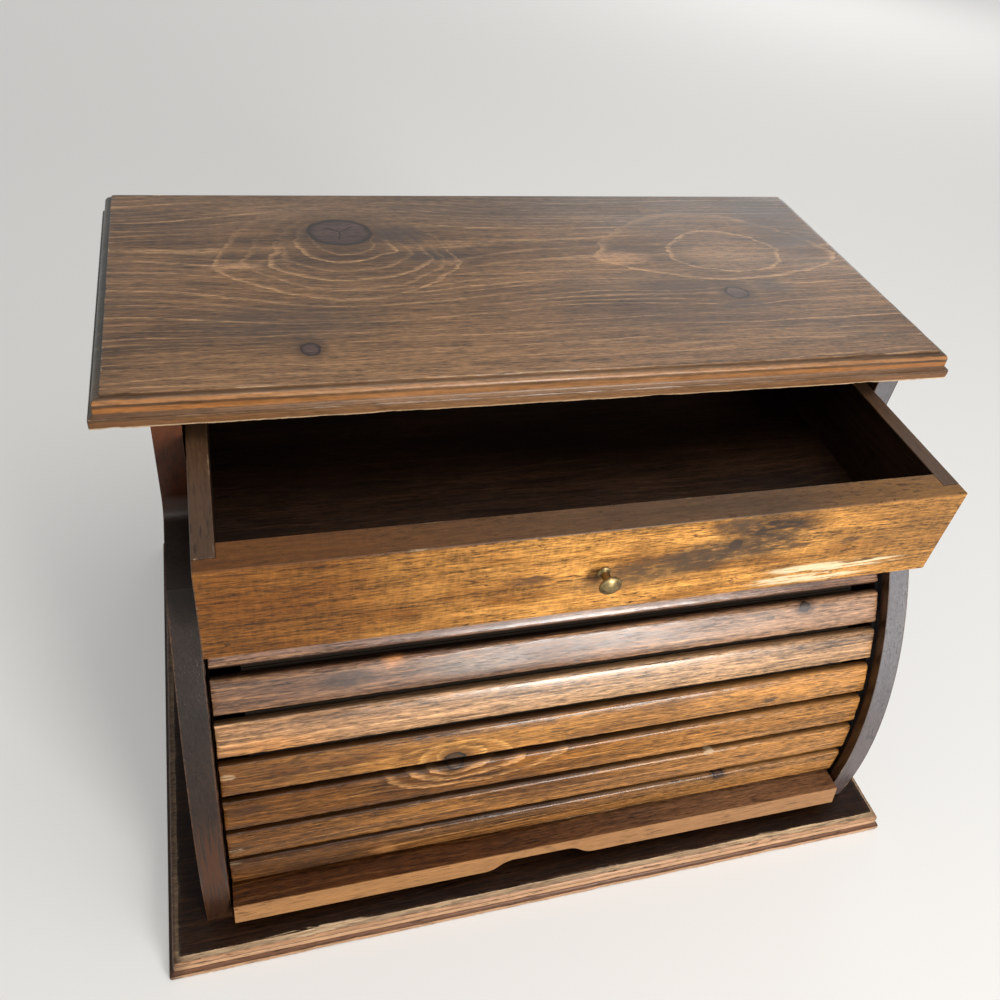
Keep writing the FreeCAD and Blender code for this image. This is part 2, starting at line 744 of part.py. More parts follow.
def slat(name, length):
    """A slat with its front arrises rounded. In its own frame X runs along it, Y up the
    canvas from its lower joint and Z out of its face."""
    body = new_body(name)
    low = "(slat_pitch - slat_width) / 2"
    high = "(slat_pitch + slat_width) / 2"
    face = "canvas_thickness + slat_thickness"
    section = new_sketch(body, "YZ")
    outline(section, [
        (low, "canvas_thickness"),
        (high, "canvas_thickness"),
        (high, f"{face} - slat_round"),
        (f"{high} - slat_round", face, "slat_round", 1),
        (f"{low} + slat_round", face),
        (low, f"{face} - slat_round", "slat_round", 1),
    ])
    pad(body, section, length, both_ways=True)
    return body


def canvas(name, width):
    """The strip of canvas behind one slat, from its own origin up."""
    strip = doc.addObject("Part::Box", name)
    strip.Label = name
    bind(strip, Length="slat_length - 2 * canvas_margin", Width=width, Height="canvas_thickness")
    return strip


def lay(thing, start, end, x=0, along=0):
    """Lays a piece along the path from one joint to the next."""
    turn = math.degrees(math.atan2(end[1] - start[1], end[0] - start[0]))
    rotation = Rotation(Vector(1, 0, 0), turn)
    thing.Placement = Placement(Vector(0, *start) + rotation * Vector(x, along, 0), rotation)
    return thing


canvas_x = value("-slat_length / 2 + canvas_margin")
half_gap = value("canvas_gap / 2")
tongued = "2 * side_x + 2 * groove_depth - 2 * tongue_end_gap"
# The slats are numbered down from the leading one, whose ends run in the grooves.
for index in range(slat_count, -1, -1):
    lower = joints[slat_count - index]
    upper = joints[slat_count - index + 1]
    if index:
        wood = slat(f"slat_{index}", "slat_length")
        cloth = canvas(f"canvas_{index}", "slat_pitch - canvas_gap")
    else:
        wood = slat("lead_slat", tongued)
        cloth = canvas("canvas_lead", "(slat_pitch + slat_width) / 2 - canvas_gap / 2")
    nodes.append(lay(wood, lower, upper))
    nodes.append(lay(cloth, lower, upper, canvas_x, half_gap))

# The pull rail's own origin is at its joint with the lowest slat.
pull_rail = new_body("pull_rail")
section = new_sketch(pull_rail, "YZ")
rail_top = "-rail_joint_gap"
rail_low = "-rail_joint_gap - rail_height"
face_low = "-rail_joint_gap - rail_face"
rail_back = "-canvas_thickness"
lip = f"{rail_back} - rail_top - rail_lean"
outline(section, [
    (rail_back, rail_low),
    (rail_back, rail_top),
    (f"{rail_back} - rail_top", rail_top),
    (lip, face_low),
    (f"{rail_back} - rail_body - rail_cove", face_low),
    (f"{rail_back} - rail_body", f"{face_low} - rail_cove", "rail_cove", -1),
    (f"{rail_back} - rail_body", rail_low),
])
pad(pull_rail, section, "slat_length", both_ways=True)

# A shallow scoop for the fingers in the face's lower edge, with ogee ends.
scoop = new_sketch(pull_rail, "XZ", f"-({lip}) + moulding_step")
ogee = "(scoop_end^2 + scoop_height^2) / (4 * scoop_height)"
scoop_left = "scoop_offset - scoop_length / 2"
scoop_right = "scoop_offset + scoop_length / 2"
outline(scoop, [
    (scoop_right, f"{face_low} - rail_cove"),
    (scoop_right, face_low),
    (f"{scoop_right} - scoop_end / 2", f"{face_low} + scoop_height / 2", ogee, -1),
    (f"{scoop_right} - scoop_end", f"{face_low} + scoop_height", ogee, 1),
    (f"{scoop_left} + scoop_end", f"{face_low} + scoop_height"),
    (f"{scoop_left} + scoop_end / 2", f"{face_low} + scoop_height / 2", ogee, 1),
    (scoop_left, face_low, ogee, -1),
    (scoop_left, f"{face_low} - rail_cove"),
])
pocket(pull_rail, scoop, "scoop_depth + moulding_step")
nodes.append(place(pull_rail, 0, "rail_joint_y", "rail_joint_z"))

rail_canvas = doc.addObject("Part::Box", "canvas_rail")
rail_canvas.Label = "canvas_rail"
bind(rail_canvas, Length="slat_length - 2 * canvas_margin", Width="canvas_thickness",
     Height="rail_height / 2")
nodes.append(place(rail_canvas, "-slat_length / 2 + canvas_margin",
                   "rail_joint_y - canvas_thickness",
                   "rail_joint_z - canvas_gap / 2 - rail_height / 2"))

# ---------------------------------------------------------------- checks and files

doc.recompute()
for thing in doc.Objects:
    if "Invalid" in thing.State or "Error" in thing.State:
        raise RuntimeError(f"{thing.Name} failed: {thing.State}")
for node in nodes:
    if node.Shape.isNull() or not node.Shape.isValid():
        raise RuntimeError(f"{node.Label} has no valid shape")

os.makedirs("parts", exist_ok=True)
for node in nodes:
    node.Shape.exportStep(f"parts/{node.Label}.step")
    box = node.Shape.BoundBox
    print(f"{node.Label:18s} {len(node.Shape.Solids):3d} solids  x {box.XMin:8.2f} {box.XMax:8.2f}"
          f"  y {box.YMin:8.2f} {box.YMax:8.2f}  z {box.ZMin:7.2f} {box.ZMax:7.2f}")
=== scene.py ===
import json
import math

import bmesh
import bpy
import numpy as np
from mathutils import Euler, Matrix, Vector


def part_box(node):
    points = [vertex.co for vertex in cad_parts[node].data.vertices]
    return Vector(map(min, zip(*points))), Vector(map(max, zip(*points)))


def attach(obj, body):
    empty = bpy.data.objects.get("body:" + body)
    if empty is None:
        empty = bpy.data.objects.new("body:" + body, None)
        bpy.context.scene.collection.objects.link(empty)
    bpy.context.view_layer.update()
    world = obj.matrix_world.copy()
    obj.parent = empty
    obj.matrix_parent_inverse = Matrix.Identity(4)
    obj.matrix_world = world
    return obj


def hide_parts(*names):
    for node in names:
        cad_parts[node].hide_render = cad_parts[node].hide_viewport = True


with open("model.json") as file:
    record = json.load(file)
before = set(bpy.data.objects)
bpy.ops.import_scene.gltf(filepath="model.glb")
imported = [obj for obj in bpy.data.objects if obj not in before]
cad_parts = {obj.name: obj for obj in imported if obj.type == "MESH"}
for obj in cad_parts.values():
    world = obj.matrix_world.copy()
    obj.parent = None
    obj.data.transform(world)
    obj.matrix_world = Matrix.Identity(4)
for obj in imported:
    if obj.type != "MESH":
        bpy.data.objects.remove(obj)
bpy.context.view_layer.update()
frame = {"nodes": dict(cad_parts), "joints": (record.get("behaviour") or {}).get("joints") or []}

mm = 0.001
print("frame loaded")


class Value:
    # a node's socket that can stand in a sum

    def __init__(self, graph, socket):
        self.graph = graph
        self.socket = socket

    def maths(self, operation, *others):
        return self.graph.node("ShaderNodeMath", {"operation": operation}, [self, *others])

    def __add__(self, other):
        return self.maths("ADD", other)

    def __sub__(self, other):
        return self.maths("SUBTRACT", other)

    def __mul__(self, other):
        return self.maths("MULTIPLY", other)

    def __truediv__(self, other):
        return self.maths("DIVIDE", other)

    def __pow__(self, other):
        return self.maths("POWER", other)

    def __rsub__(self, other):
        return self.graph.node("ShaderNodeMath", {"operation": "SUBTRACT"}, [other, self])

    def __neg__(self):
        return self.maths("MULTIPLY", -1.0)

    __radd__ = __add__
    __rmul__ = __mul__

    def low(self, other):
        return self.maths("MINIMUM", other)

    def high(self, other):
        return self.maths("MAXIMUM", other)

    def size(self):
        return self.maths("ABSOLUTE")

    def part(self):
        return self.maths("FRACT")

    def ease(self, start, end):
        # 0 at start, 1 at end, smooth between them
        return self.graph.node("ShaderNodeMapRange", {"interpolation_type": "SMOOTHSTEP"},
                               {"Value": self, "From Min": start, "From Max": end})

    def within(self, start, end, soft):
        # 1 between start and end, falling off over soft
        return self.ease(start - soft, start + soft) * (1.0 - self.ease(end - soft, end + soft))


class Graph:
    # a tree of nodes, and the nodes that are added to it

    def __init__(self, tree):
        self.tree = tree

    def node(self, kind, settings, values, output=0):
        # a node's settings come first, then a value or a link for each of its sockets
        made = self.tree.nodes.new(kind)
        for key, setting in settings.items():
            setattr(made, key, setting)
        named = values.items() if isinstance(values, dict) else enumerate(values)
        for key, value in named:
            if isinstance(value, Value):
                self.tree.links.new(value.socket, made.inputs[key])
            else:
                made.inputs[key].default_value = value
        return Value(self, made.outputs[output])

    def vector(self, operation, *terms):
        output = 1 if operation in ("LENGTH", "DISTANCE", "DOT_PRODUCT") else 0
        return self.node("ShaderNodeVectorMath", {"operation": operation}, terms, output)

    def mix(self, factor, first, second, blend="MIX"):
        first, second = [c if isinstance(c, Value) else (*c, 1.0) for c in (first, second)]
        return self.node("ShaderNodeMix", {"data_type": "RGBA", "blend_type": blend},
                         {0: factor, 6: first, 7: second}, 2)

    def noise(self, place, stretch, detail=3.0, roughness=0.5, output=0):
        # stretch: how many millimetres one patch of the noise is long on each axis
        return self.node("ShaderNodeTexNoise", {},
                         {"Vector": self.vector("DIVIDE", place, stretch), "Scale": 1.0,
                          "Detail": detail, "Roughness": roughness}, output)

    def shaken(self, place, drift, stretch, amount, detail=2.0):
        # the place moved a little by noise, for outlines that are not neat
        shake = self.noise(drift, stretch, detail, 0.6, output=1)
        shake = self.vector("SUBTRACT", shake, (0.5, 0.5, 0.5))
        return self.vector("ADD", place, self.vector("MULTIPLY", shake, (*amount, 0)))

    def parts(self, place):
        return [self.node("ShaderNodeSeparateXYZ", {}, [place], axis) for axis in range(3)]

    def joined(self, *parts):
        return self.node("ShaderNodeCombineXYZ", {}, parts)

    def seen(self):
        # 1 for light that goes to the eye, or by a mirror or glass to it
        found = [self.node("ShaderNodeLightPath", {}, [], f"Is {kind} Ray")
                 for kind in ("Camera", "Glossy", "Transmission")]
        return found[0].high(found[1]).high(found[2])


class Finish(Graph):
    # one material

    def __init__(self, name):
        self.material = bpy.data.materials.new(name)
        self.material.use_nodes = True
        super().__init__(self.material.node_tree)
        self.shader = next(n for n in self.tree.nodes if n.type == "BSDF_PRINCIPLED")

    def local(self, origin=(0, 0, 0), turn=0.0, order="xyz"):
        # the place in millimetres from an origin, turned back about X, axes in the order given
        here = self.node("ShaderNodeTexCoord", {}, [], "Object")
        here = self.node("ShaderNodeMapping", {"vector_type": "TEXTURE"},
                         [here, [v * mm for v in origin], (turn, 0, 0), (mm, mm, mm)])
        if order == "xyz":
            return here
        axes = dict(zip("xyz", self.parts(here)))
        return self.joined(*[axes[a] for a in order])

    def reach(self, place, at, size):
        # how far out a place lies, where 1 is the edge of an ellipse
        away = self.vector("SUBTRACT", place, (*at, 0.0))
        return self.vector("LENGTH", self.vector("DIVIDE", away, (*size, 1e6)))

    def lensReach(self, place, at, wide, high, tip):
        # the same for an outline with its own half size on each side: (left, right), (down, up);
        # sideways^2 + upwards^tip is 1 on it, and it is pointed where tip is near 1
        x, y, _ = self.parts(self.vector("SUBTRACT", place, (*at, 0.0)))
        sideways = x.high(0.0) / wide[1] - x.low(0.0) / wide[0]
        upwards = y.high(0.0) / high[1] - y.low(0.0) / high[0]
        return sideways ** 2.0 + upwards ** tip

    def attribute(self, name, output=2):
        # a mark on the mesh: output 2 is a number, 1 a place
        return self.node("ShaderNodeAttribute", {"attribute_name": name}, [], output)

    def link(self, **values):
        # a value or a link for each of the shader's sockets
        for name, value in values.items():
            socket = self.shader.inputs[name.replace("_", " ")]
            if isinstance(value, Value):
                self.tree.links.new(value.socket, socket)
            else:
                socket.default_value = value

    def relief(self, height, depth):
        self.link(Normal=self.node("ShaderNodeBump", {}, {"Height": height, "Distance": depth * mm}))


def darker(colour, share):
    return [c * share for c in colour]


woodDefaults = {
    # lengths in millimetres; a place and a size on a board are (along the grain, across it)
    "order": "xyz", "origin": (0, 0, 0), "turn": 0.0,   # which axes run along, across and into the board
    "dark": (0.05, 0.025, 0.014), "mid": (0.14, 0.075, 0.04), "pale": (0.30, 0.17, 0.08),
    "blotch": (150, 45, 60),                # size of the stain's patches
    "spacing": 6.0, "rings": 0.35,          # from ring to ring, and how plain the rings are
    "wander": 22.0, "lean": 0.8,            # how far the rings stray, and how they lean into the board
    "flows": [],                            # (place, size, push): the rings spread round this
    "figures": [],                          # groups of nested pale outlines, the widest first:
                                            # (place, (left, right), (down, up), tip, fade, strength)
    "knots": [],                            # (place, size, colour)
    "smudgesAndLitPatches": [], "tints": [],             # (place, size, colour, strength)
    "bands": [], "corner": None,            # (axis, from, to, colour, strength), and where "end" starts
    "worn": [], "scrape": (22, 1.5, 2.5),   # (place, size, strength), and the size of its streaks
    "fibre": 1.0, "chatter": 0.15,          # strength of the fine lines along the grain and across it
    "pores": 0.6, "poreLength": 14.0,       # dark dashes along the grain
    "arris": None, "arrisWide": 2.2,        # a box, or "attribute" for a shell that marks its own
    "wear": 0.5, "wearColour": (0.62, 0.44, 0.27), "wearPatch": 26.0,
    "roughness": 0.38, "gloss": 0.3, "relief": 0.12,
}
woodNoise = {
    # size of one patch (along, across, into the board), detail, roughness
    "wander": ((230, 60, 40), 2.0, 0.45), "flutter": ((40, 7, 20), 3.0, 0.55),
    "fibre": ((28, 1.6, 1.8), 4.0, 0.68), "hair": ((7, 0.9, 1.0), 2.0, 0.6),
    "streak": ((260, 7, 8), 3.0, 0.6), "chatter": ((2.8, 14, 14), 3.0, 0.65),
    "poreGroups": ((50, 16, 20), 2.0), "grimeAndLight": ((9, 3.2, 4), 4.0, 0.65), "sheen": ((70, 30, 30), 4.0, 0.6),
}
ringLook = {"rise": (0.58, 0.86), "drop": (0.89, 0.97), "bold": (0.35, 0.68), "faintest": 0.15,
            "flutter": 3.0, "uneven": 2.6}
figureLook = {"soft": 4.0, "calmer": 0.6, "broken": 0.4}
grainLook = {"fibre": 2.6, "hair": 2.0, "streak": 1.2, "chatter": 2.0, "darkest": 0.2, "inBands": 0.4}
poreLook = {"thick": (0.56, 0.66), "groups": (0.35, 0.62), "darker": 0.3}
knotLook = {"halo": (0.9, 2.4), "haloStrength": 0.7, "swirl": 0.35,
            "rimWide": 2.5, "rim": (0.012, 0.007, 0.005),
            "cracks": (38, 152, 262), "crackedOver": 20, "crack": (0.006, 0.004, 0.003)}
heights = {"pale": 0.35, "fibre": 0.5, "hair": 0.25, "pore": 0.8, "crack": 1.5, "bare": 0.5}
roughLook = {"sheen": 0.26, "fibre": 0.2, "arris": 0.15, "bare": 0.25, "least": 0.14, "most": 0.95}


class Wood(Finish):
    # Stained pine, laid on in layers: colour, rough and height are what is there so far.

    def __init__(self, name, look):
        super().__init__(name)
        self.look = look
        self.seed = float(sum(map(ord, name)) % 97) * 113.0
        self.place = self.local(look["origin"], look["turn"], look["order"])
        self.drift = self.vector("ADD", self.place, (self.seed, self.seed * 0.7, self.seed * 0.3))
        self.along, self.across, self.deep = self.parts(self.place)
        self.ragged = self.shaken(self.place, self.drift, (9, 5, 5), (16, 6), 3.0)
        self.steady = self.shaken(self.place, self.drift, (12, 8, 8), (5, 2.5))
        self.flutter, self.fibre, self.hair, self.chatter = map(
            self.patches, ("flutter", "fibre", "hair", "chatter"))

    def patches(self, kind):
        return self.noise(self.drift, *woodNoise[kind])

    def rings(self):
        # Pale lines at even steps of a level: the place across the grain + a slow wander, spread
        # round each knot so that the rings flow past it, and then made uneven.
        look, spacing, along = self.look, self.look["spacing"], self.along
        wander = (self.patches("wander") - 0.5) * look["wander"] * 2.0
        flutter = (self.flutter - 0.5) * ringLook["flutter"]
        level = self.across + self.deep * look["lean"] + wander + flutter
        for at, size, push in look["flows"]:
            out = self.reach(self.place, at, size)
            level = level - (self.across - at[1]) * (-(out * out)).maths("EXPONENT") * push
        uneven = self.noise(self.joined(level + self.seed, along, 0.0), (spacing * 1.9, 700, 1), 2.0)
        level = level + (uneven - 0.5) * spacing * ringLook["uneven"]
        ring = (level / spacing).part()
        line = ring.ease(*ringLook["rise"]) * (1.0 - ring.ease(*ringLook["drop"]))
        bold = self.noise(self.joined(level - self.seed, along, 0.0), (spacing * 1.3, 240, 1), 1.0)
        faintest = ringLook["faintest"]
        self.pale = line * (bold.ease(*ringLook["bold"]) * (1.0 - faintest) + faintest) * look["rings"]

    def figures(self):
        # nested pale outlines over the rings, which are weaker inside the widest one
        for group in self.look["figures"]:
            wavy = self.shaken(self.place, self.drift, (42, 20, 14), (22, 11), 4.0)
            for index, (at, wide, high, tip, fade, strength) in enumerate(group):
                out = self.lensReach(wavy, at, wide, high, tip)
                if index == 0:
                    calmer = figureLook["calmer"]
                    self.pale = self.pale * (out.ease(0.9, 1.15) * calmer + (1.0 - calmer))
                soft = figureLook["soft"] / min(high)
                outline = out.ease(1.0 - soft * 1.3, 1.0 - soft * 0.1)
                outline = outline * (1.0 - out.ease(1.0, 1.0 + soft * 0.3))
                broken = figureLook["broken"]
                outline = outline * (self.flutter.ease(0.25, 0.6) * broken + (1.0 - broken))
                shown = (1.0 - self.across.ease(at[1] - 2, at[1] + high[1] * 0.5) * fade) * strength
                self.pale = self.pale.high(outline * shown)

    def stain(self):
        # patches of dark and mid stain and the pale lines, then bands and tints, crossed by the grain
        look, k = self.look, grainLook
        blotch = self.noise(self.drift, look["blotch"], 4.0, 0.6).ease(0.3, 0.7)
        colour = self.mix(self.pale, self.mix(blotch, look["dark"], look["mid"]), look["pale"])
        shade = ((self.fibre - 0.5) * k["fibre"] + (self.hair - 0.5) * k["hair"]
                 + (self.patches("streak") - 0.5) * k["streak"]) * look["fibre"]
        shade = (shade + (self.chatter - 0.5) * look["chatter"] * k["chatter"] + 1.0).high(k["darkest"])
        banded = 0.0
        for axis, start, end, tint, strength in look["bands"]:
            band = self.inBand(axis, start, end)
            colour = self.mix(band * strength, colour, tint)
            banded = band.high(banded)
        if look["bands"]:
            weaker = shade * k["inBands"] + (1.0 - k["inBands"])
            shade = shade + (weaker - shade) * banded
        for at, size, tint, strength in look["tints"]:
            near = 1.0 - self.reach(self.ragged, at, size).ease(0.1, 1.25)
            colour = self.mix(near * strength, colour, tint)
        self.shade = self.joined(shade, shade, shade)
        self.colour = self.mix(1.0, colour, self.shade, "MULTIPLY")
        self.height = (self.pale * heights["pale"] + self.fibre * heights["fibre"]
                       + self.hair * heights["hair"])

    def inBand(self, axis, start, end):
        # "end" is the way into the moulding of the end beside the corner, as far as the mitre
        if axis == "end":
            inward = self.along - self.look["corner"][0]
            where = inward.high((inward - self.across + self.look["corner"][1]) * 10.0 + 8.0)
        else:
            where = getattr(self, axis)
        return where.within(start, end, 0.5)

    def pores(self):
        # dark dashes along the grain, in groups
        look = self.look
        pore = self.noise(self.drift, (look["poreLength"], 1.5, 1.8), 2.0).ease(*poreLook["thick"])
        groups = self.patches("poreGroups") + (self.chatter - 0.5) * look["chatter"] * 1.5
        pore = pore * groups.ease(*poreLook["groups"]) * look["pores"]
        self.colour = self.mix(pore, self.colour, darker(look["dark"], poreLook["darker"]))
        self.height = self.height - pore * heights["pore"]

    def knots(self):
        # a smoky halo, a dark rim, a turned heart and, in a big one, fine cracks that meet in it
        for at, size, colour in self.look["knots"]:
            out = self.reach(self.steady, at, size)
            halo = (1.0 - out.ease(*knotLook["halo"])) * knotLook["haloStrength"]
            self.colour = self.mix(halo, self.colour, darker(self.look["dark"], 0.6))
            swirl = (out * 3.0).part().within(0.3, 0.8, 0.25) * knotLook["swirl"]
            heart = self.mix(1.0, self.mix(swirl, colour, darker(colour, 0.6)), self.shade, "MULTIPLY")
            rim = out.ease(0.9 - knotLook["rimWide"] / size[0], 0.95) * 0.95
            heart = self.mix(rim, heart, knotLook["rim"])
            self.colour = self.mix(1.0 - out.ease(0.97, 1.06), self.colour, heart)
            if size[0] > knotLook["crackedOver"]:
                for turn in knotLook["cracks"]:
                    self.crack(at, math.radians(turn), out)

    def crack(self, at, turn, out):
        # a line from the knot's middle: near 0 across the turned axis, above 0 along it
        x, y, _ = self.parts(self.vector("SUBTRACT", self.steady, (*at, 0.0)))
        c, s = math.cos(turn), math.sin(turn)
        line = (1.0 - (y * c - x * s).size().ease(0.35, 1.1)) * (x * c + y * s).ease(-0.5, 0.5)
        line = line * (1.0 - out.ease(0.45, 0.85))
        self.colour = self.mix(line * 0.9, self.colour, knotLook["crack"])
        self.height = self.height - line * heights["crack"]

    def smudgesAndLitPatches(self):
        # uneven patches on top of everything but the bare wood: dark marks, and on the left side a painted
        # lit patch
        grimeAndLight = self.patches("grimeAndLight").ease(0.25, 0.6) * 0.6 + 0.4
        for at, size, tint, strength in self.look["smudgesAndLitPatches"]:
            near = 1.0 - self.reach(self.ragged, at, size).ease(0.45, 1.35)
            self.colour = self.mix(near * grimeAndLight * strength, self.colour, tint)

    def bare(self):
        # bare wood where the stain is scraped off, and in patches along the arrises
        look, marks = self.look, []
        self.rough = ((self.patches("sheen") - 0.5) * roughLook["sheen"]
                      + (self.fibre - 0.5) * roughLook["fibre"] + look["roughness"])
        if look["worn"]:
            scrape = self.noise(self.drift, look["scrape"], 3.0, 0.6).ease(0.46, 0.53)
            marks += [(1.0 - self.reach(self.steady, at, size).ease(0.7, 1.15)) * scrape * strength
                      for at, size, strength in look["worn"]]
        if look["arris"]:
            edge = self.edge()
            rub = self.noise(self.drift, (look["wearPatch"], 5, 5), 4.0, 0.62)
            rub = rub.ease(0.68 - 0.3 * look["wear"], 0.78)
            marks.append(edge.ease(0.35, 0.95) * rub * min(1.0, look["wear"] * 1.6))
            self.rough = self.rough - edge * roughLook["arris"]
        for mark in marks:
            bareColour = self.mix(self.fibre, darker(look["wearColour"], 0.6), look["wearColour"])
            self.colour = self.mix(mark, self.colour, bareColour)
            self.rough = self.rough + mark * roughLook["bare"]
            self.height = self.height - mark * heights["bare"]

    def edge(self):
        # 1 at the arrises and 0 further in: a shell's own mark, or else from a box, where the
        # middle one of the distances to its faces counts
        if self.look["arris"] == "attribute":
            return self.attribute("arris")
        low, high = self.look["arris"]
        place = self.local([(a + b) / 2 for a, b in zip(low, high)])
        x, y, z = [(b - a) / 2 - p.size() for a, b, p in zip(low, high, self.parts(place))]
        return 1.0 - x.low(y).high(x.high(y).low(z)).ease(0.2, self.look["arrisWide"])


def wood(name, **choices):
    # the name also seeds the noise, so that no two boards are alike
    finish = Wood(name, {**woodDefaults, **choices})
    for layer in (finish.rings, finish.figures, finish.stain, finish.pores, finish.knots,
                  finish.smudgesAndLitPatches, finish.bare):
        layer()
    rough = finish.rough.high(roughLook["least"]).low(roughLook["most"])
    finish.link(Base_Color=finish.colour, Roughness=rough, Specular_IOR_Level=finish.look["gloss"])
    finish.relief(finish.height, finish.look["relief"])
    return finish.material


def boxOf(node):
    # a node's low and high corners in millimetres
    return [[v / mm for v in corner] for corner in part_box(node)]


def ripple(turn, slow, fast, seed, count=14):
    # a smooth uneven line round a loop: sines with whole numbers of waves from slow to fast
    rng = np.random.default_rng(seed)
    waves = rng.integers(slow, fast + 1, count)
    start = rng.uniform(0, 2 * np.pi, count)
    return np.sin(turn[:, None] * waves + start).sum(1) / math.sqrt(count)


def surface(name, points, marks, material):
    # a grid of points (rings by places round them), closed round and capped at both ends
    rings, count = points.shape[:2]
    here = np.arange(rings - 1)[:, None] * count + np.arange(count)
    beside = np.arange(rings - 1)[:, None] * count + (np.arange(count) + 1) % count
    quads = np.stack([here, beside, beside + count, here + count], -1).reshape(-1, 4)
    caps = [list(range(count - 1, -1, -1)), list(range((rings - 1) * count, rings * count))]
    mesh = bpy.data.meshes.new(name)
    mesh.from_pydata((points.reshape(-1, 3) * mm).tolist(), [], quads.tolist() + caps)
    for mark, values in marks.items():
        kind, key = ("FLOAT", "value") if values.ndim == 2 else ("FLOAT_VECTOR", "vector")
        mesh.attributes.new(mark, kind, "POINT").data.foreach_set(key, values.reshape(-1).astype(np.float32))
    return finishMesh(name, mesh, material)


edgeLook = {
    "sharp": 38,                        # degrees between two faces whose edge stays sharp
    "bevelled": 35, "shortest": 4.0,    # degrees and length from which a board's edge is rounded
    "flat": 0.3, "merge": 0.005, "segments": 3,
}


def finishMesh(name, mesh, material):
    # all faces outwards, smooth but for the sharp edges, and one material
    shell = bmesh.new()
    shell.from_mesh(mesh)
    bmesh.ops.recalc_face_normals(shell, faces=shell.faces)
    shell.to_mesh(mesh)
    shell.free()
    mesh.polygons.foreach_set("use_smooth", [True] * len(mesh.polygons))
    mesh.set_sharp_from_angle(angle=math.radians(edgeLook["sharp"]))
    mesh.materials.clear()
    mesh.materials.append(material)
    piece = bpy.data.objects.new(name, mesh)
    bpy.context.scene.collection.objects.link(piece)
    weighted = piece.modifiers.new("flat faces stay flat", "WEIGHTED_NORMAL")
    weighted.keep_sharp = True
    return piece


def rectangleLoop(acrossHalf, low, high, corner, step):
    # a rectangle's outline with quarter turns at its corners, walked in even steps
    inner = acrossHalf - corner
    turns = np.linspace(0, np.pi / 2, 4)
    sides = []
    for cx, cy, start in ((inner, low + corner, -0.5), (inner, high - corner, 0.0),
                          (-inner, high - corner, 0.5), (-inner, low + corner, 1.0)):
        angle = turns + start * np.pi
        sides.append(np.stack([cx + corner * np.cos(angle), cy + corner * np.sin(angle)], 1))
    loop = []
    for side, following in zip(sides, sides[1:] + sides[:1]):
        loop.append(side)
        gap = following[0] - side[-1]
        steps = max(1, int(np.linalg.norm(gap) / step))
        share = np.arange(1, steps)[:, None] / steps
        loop.append(side[-1] + gap * share)
    return np.concatenate(loop)


def easedProfile(corners, support=3.0):
    # corners (inset across, inset up, height, radius): each turn is the curve
    # (1-t)^2 before + 2t(1-t) corner + t^2 after; plain points stand a little way off
    corners = np.array(corners, float)
    rows = []
    for index, (*corner, radius) in enumerate(corners):
        corner = np.array(corner)
        for step in (-1, 1):
            other = index + step
            if 0 <= other < len(corners):
                run = corners[other, :3] - corner
                length = np.linalg.norm(run)
                plain = corner + run * min(0.5, (radius + support) / length)
                before = corner + run * min(0.5, radius / length)
            else:
                plain = before = corner
            if step < 0:
                first, start = plain, before
        if radius > 0:
            t = np.linspace(0, 1, 5)[:, None]
            curve = (1 - t)**2 * start + 2 * t * (1 - t) * corner + t**2 * before
            rows.append([*first, 0.0])
            rows += [[*point, 1.0] for point in curve]
            rows.append([*plain, 0.0])
        else:
            rows.append([*corner, 0.0])
    rows = np.array(rows)
    apart = np.linalg.norm(np.diff(rows[:, :3], axis=0), axis=1) > 0.02    # rows that meet count once
    return rows[np.concatenate([[True], apart])]


rubLook = {
    "slow": (20, 90), "fast": (120, 400), "chip": (300, 600),   # waves round a board
    "even": 0.5, "slowShare": 0.35, "fastShare": 0.25, "most": 1.6, "sink": 0.5,
}


def board(name, loop, centre, profile, axes, origin, material, worn, seed, chips=()):
    # Each profile row (inset across, inset up, height, mark) draws the loop in towards the centre,
    # as place * (reach - inset) / reach, and lifts it. Where it is marked, it sinks unevenly.
    offset = loop - np.array(centre)
    reach = np.abs(offset).max(0)
    step = np.linalg.norm(np.roll(loop, -1, 0) - loop, axis=1)
    turn = 2 * np.pi * np.cumsum(step) / step.sum()
    k = rubLook
    slow, fast = ripple(turn, *k["slow"], seed), ripple(turn, *k["fast"], seed + 1)
    rub = worn * (k["even"] + k["slowShare"] * slow + k["fastShare"] * fast).clip(0, k["most"])
    bites = np.zeros_like(rub)
    for at, width, depth in chips:
        away = np.linalg.norm(loop - np.array(at), axis=1)
        rough = 0.7 + 0.3 * ripple(turn, *k["chip"], seed + 2)
        bites = np.maximum(bites, depth * np.exp(-(away / width)**4) * rough)
    inset = profile[:, None, :2] + (profile[:, 3, None] * (rub + bites))[:, :, None]
    flat = np.array(centre) + offset[None] * (reach - inset) / reach
    sink = profile[:, 3, None] * (rub + bites) * k["sink"]
    middle = profile[:, 2].mean()
    height = profile[:, 2, None] - np.sign(profile[:, 2, None] - middle) * sink
    local = np.concatenate([flat, height[:, :, None]], -1)
    points = np.array(origin) + local @ np.array(axes, float)
    arris = np.repeat(profile[:, 3, None], len(loop), 1)
    return surface(name, points, {"arris": arris, "laid": local}, material)


def quarter(centre, radius, start, end, count, mark=0.5):
    # a quarter of a circle as profile rows: centre + radius at each angle
    angle = np.radians(np.linspace(start, end, count))
    inset = centre[0] + radius * np.cos(angle)
    return np.stack([inset, inset, centre[1] + radius * np.sin(angle), np.full(count, mark)], 1)


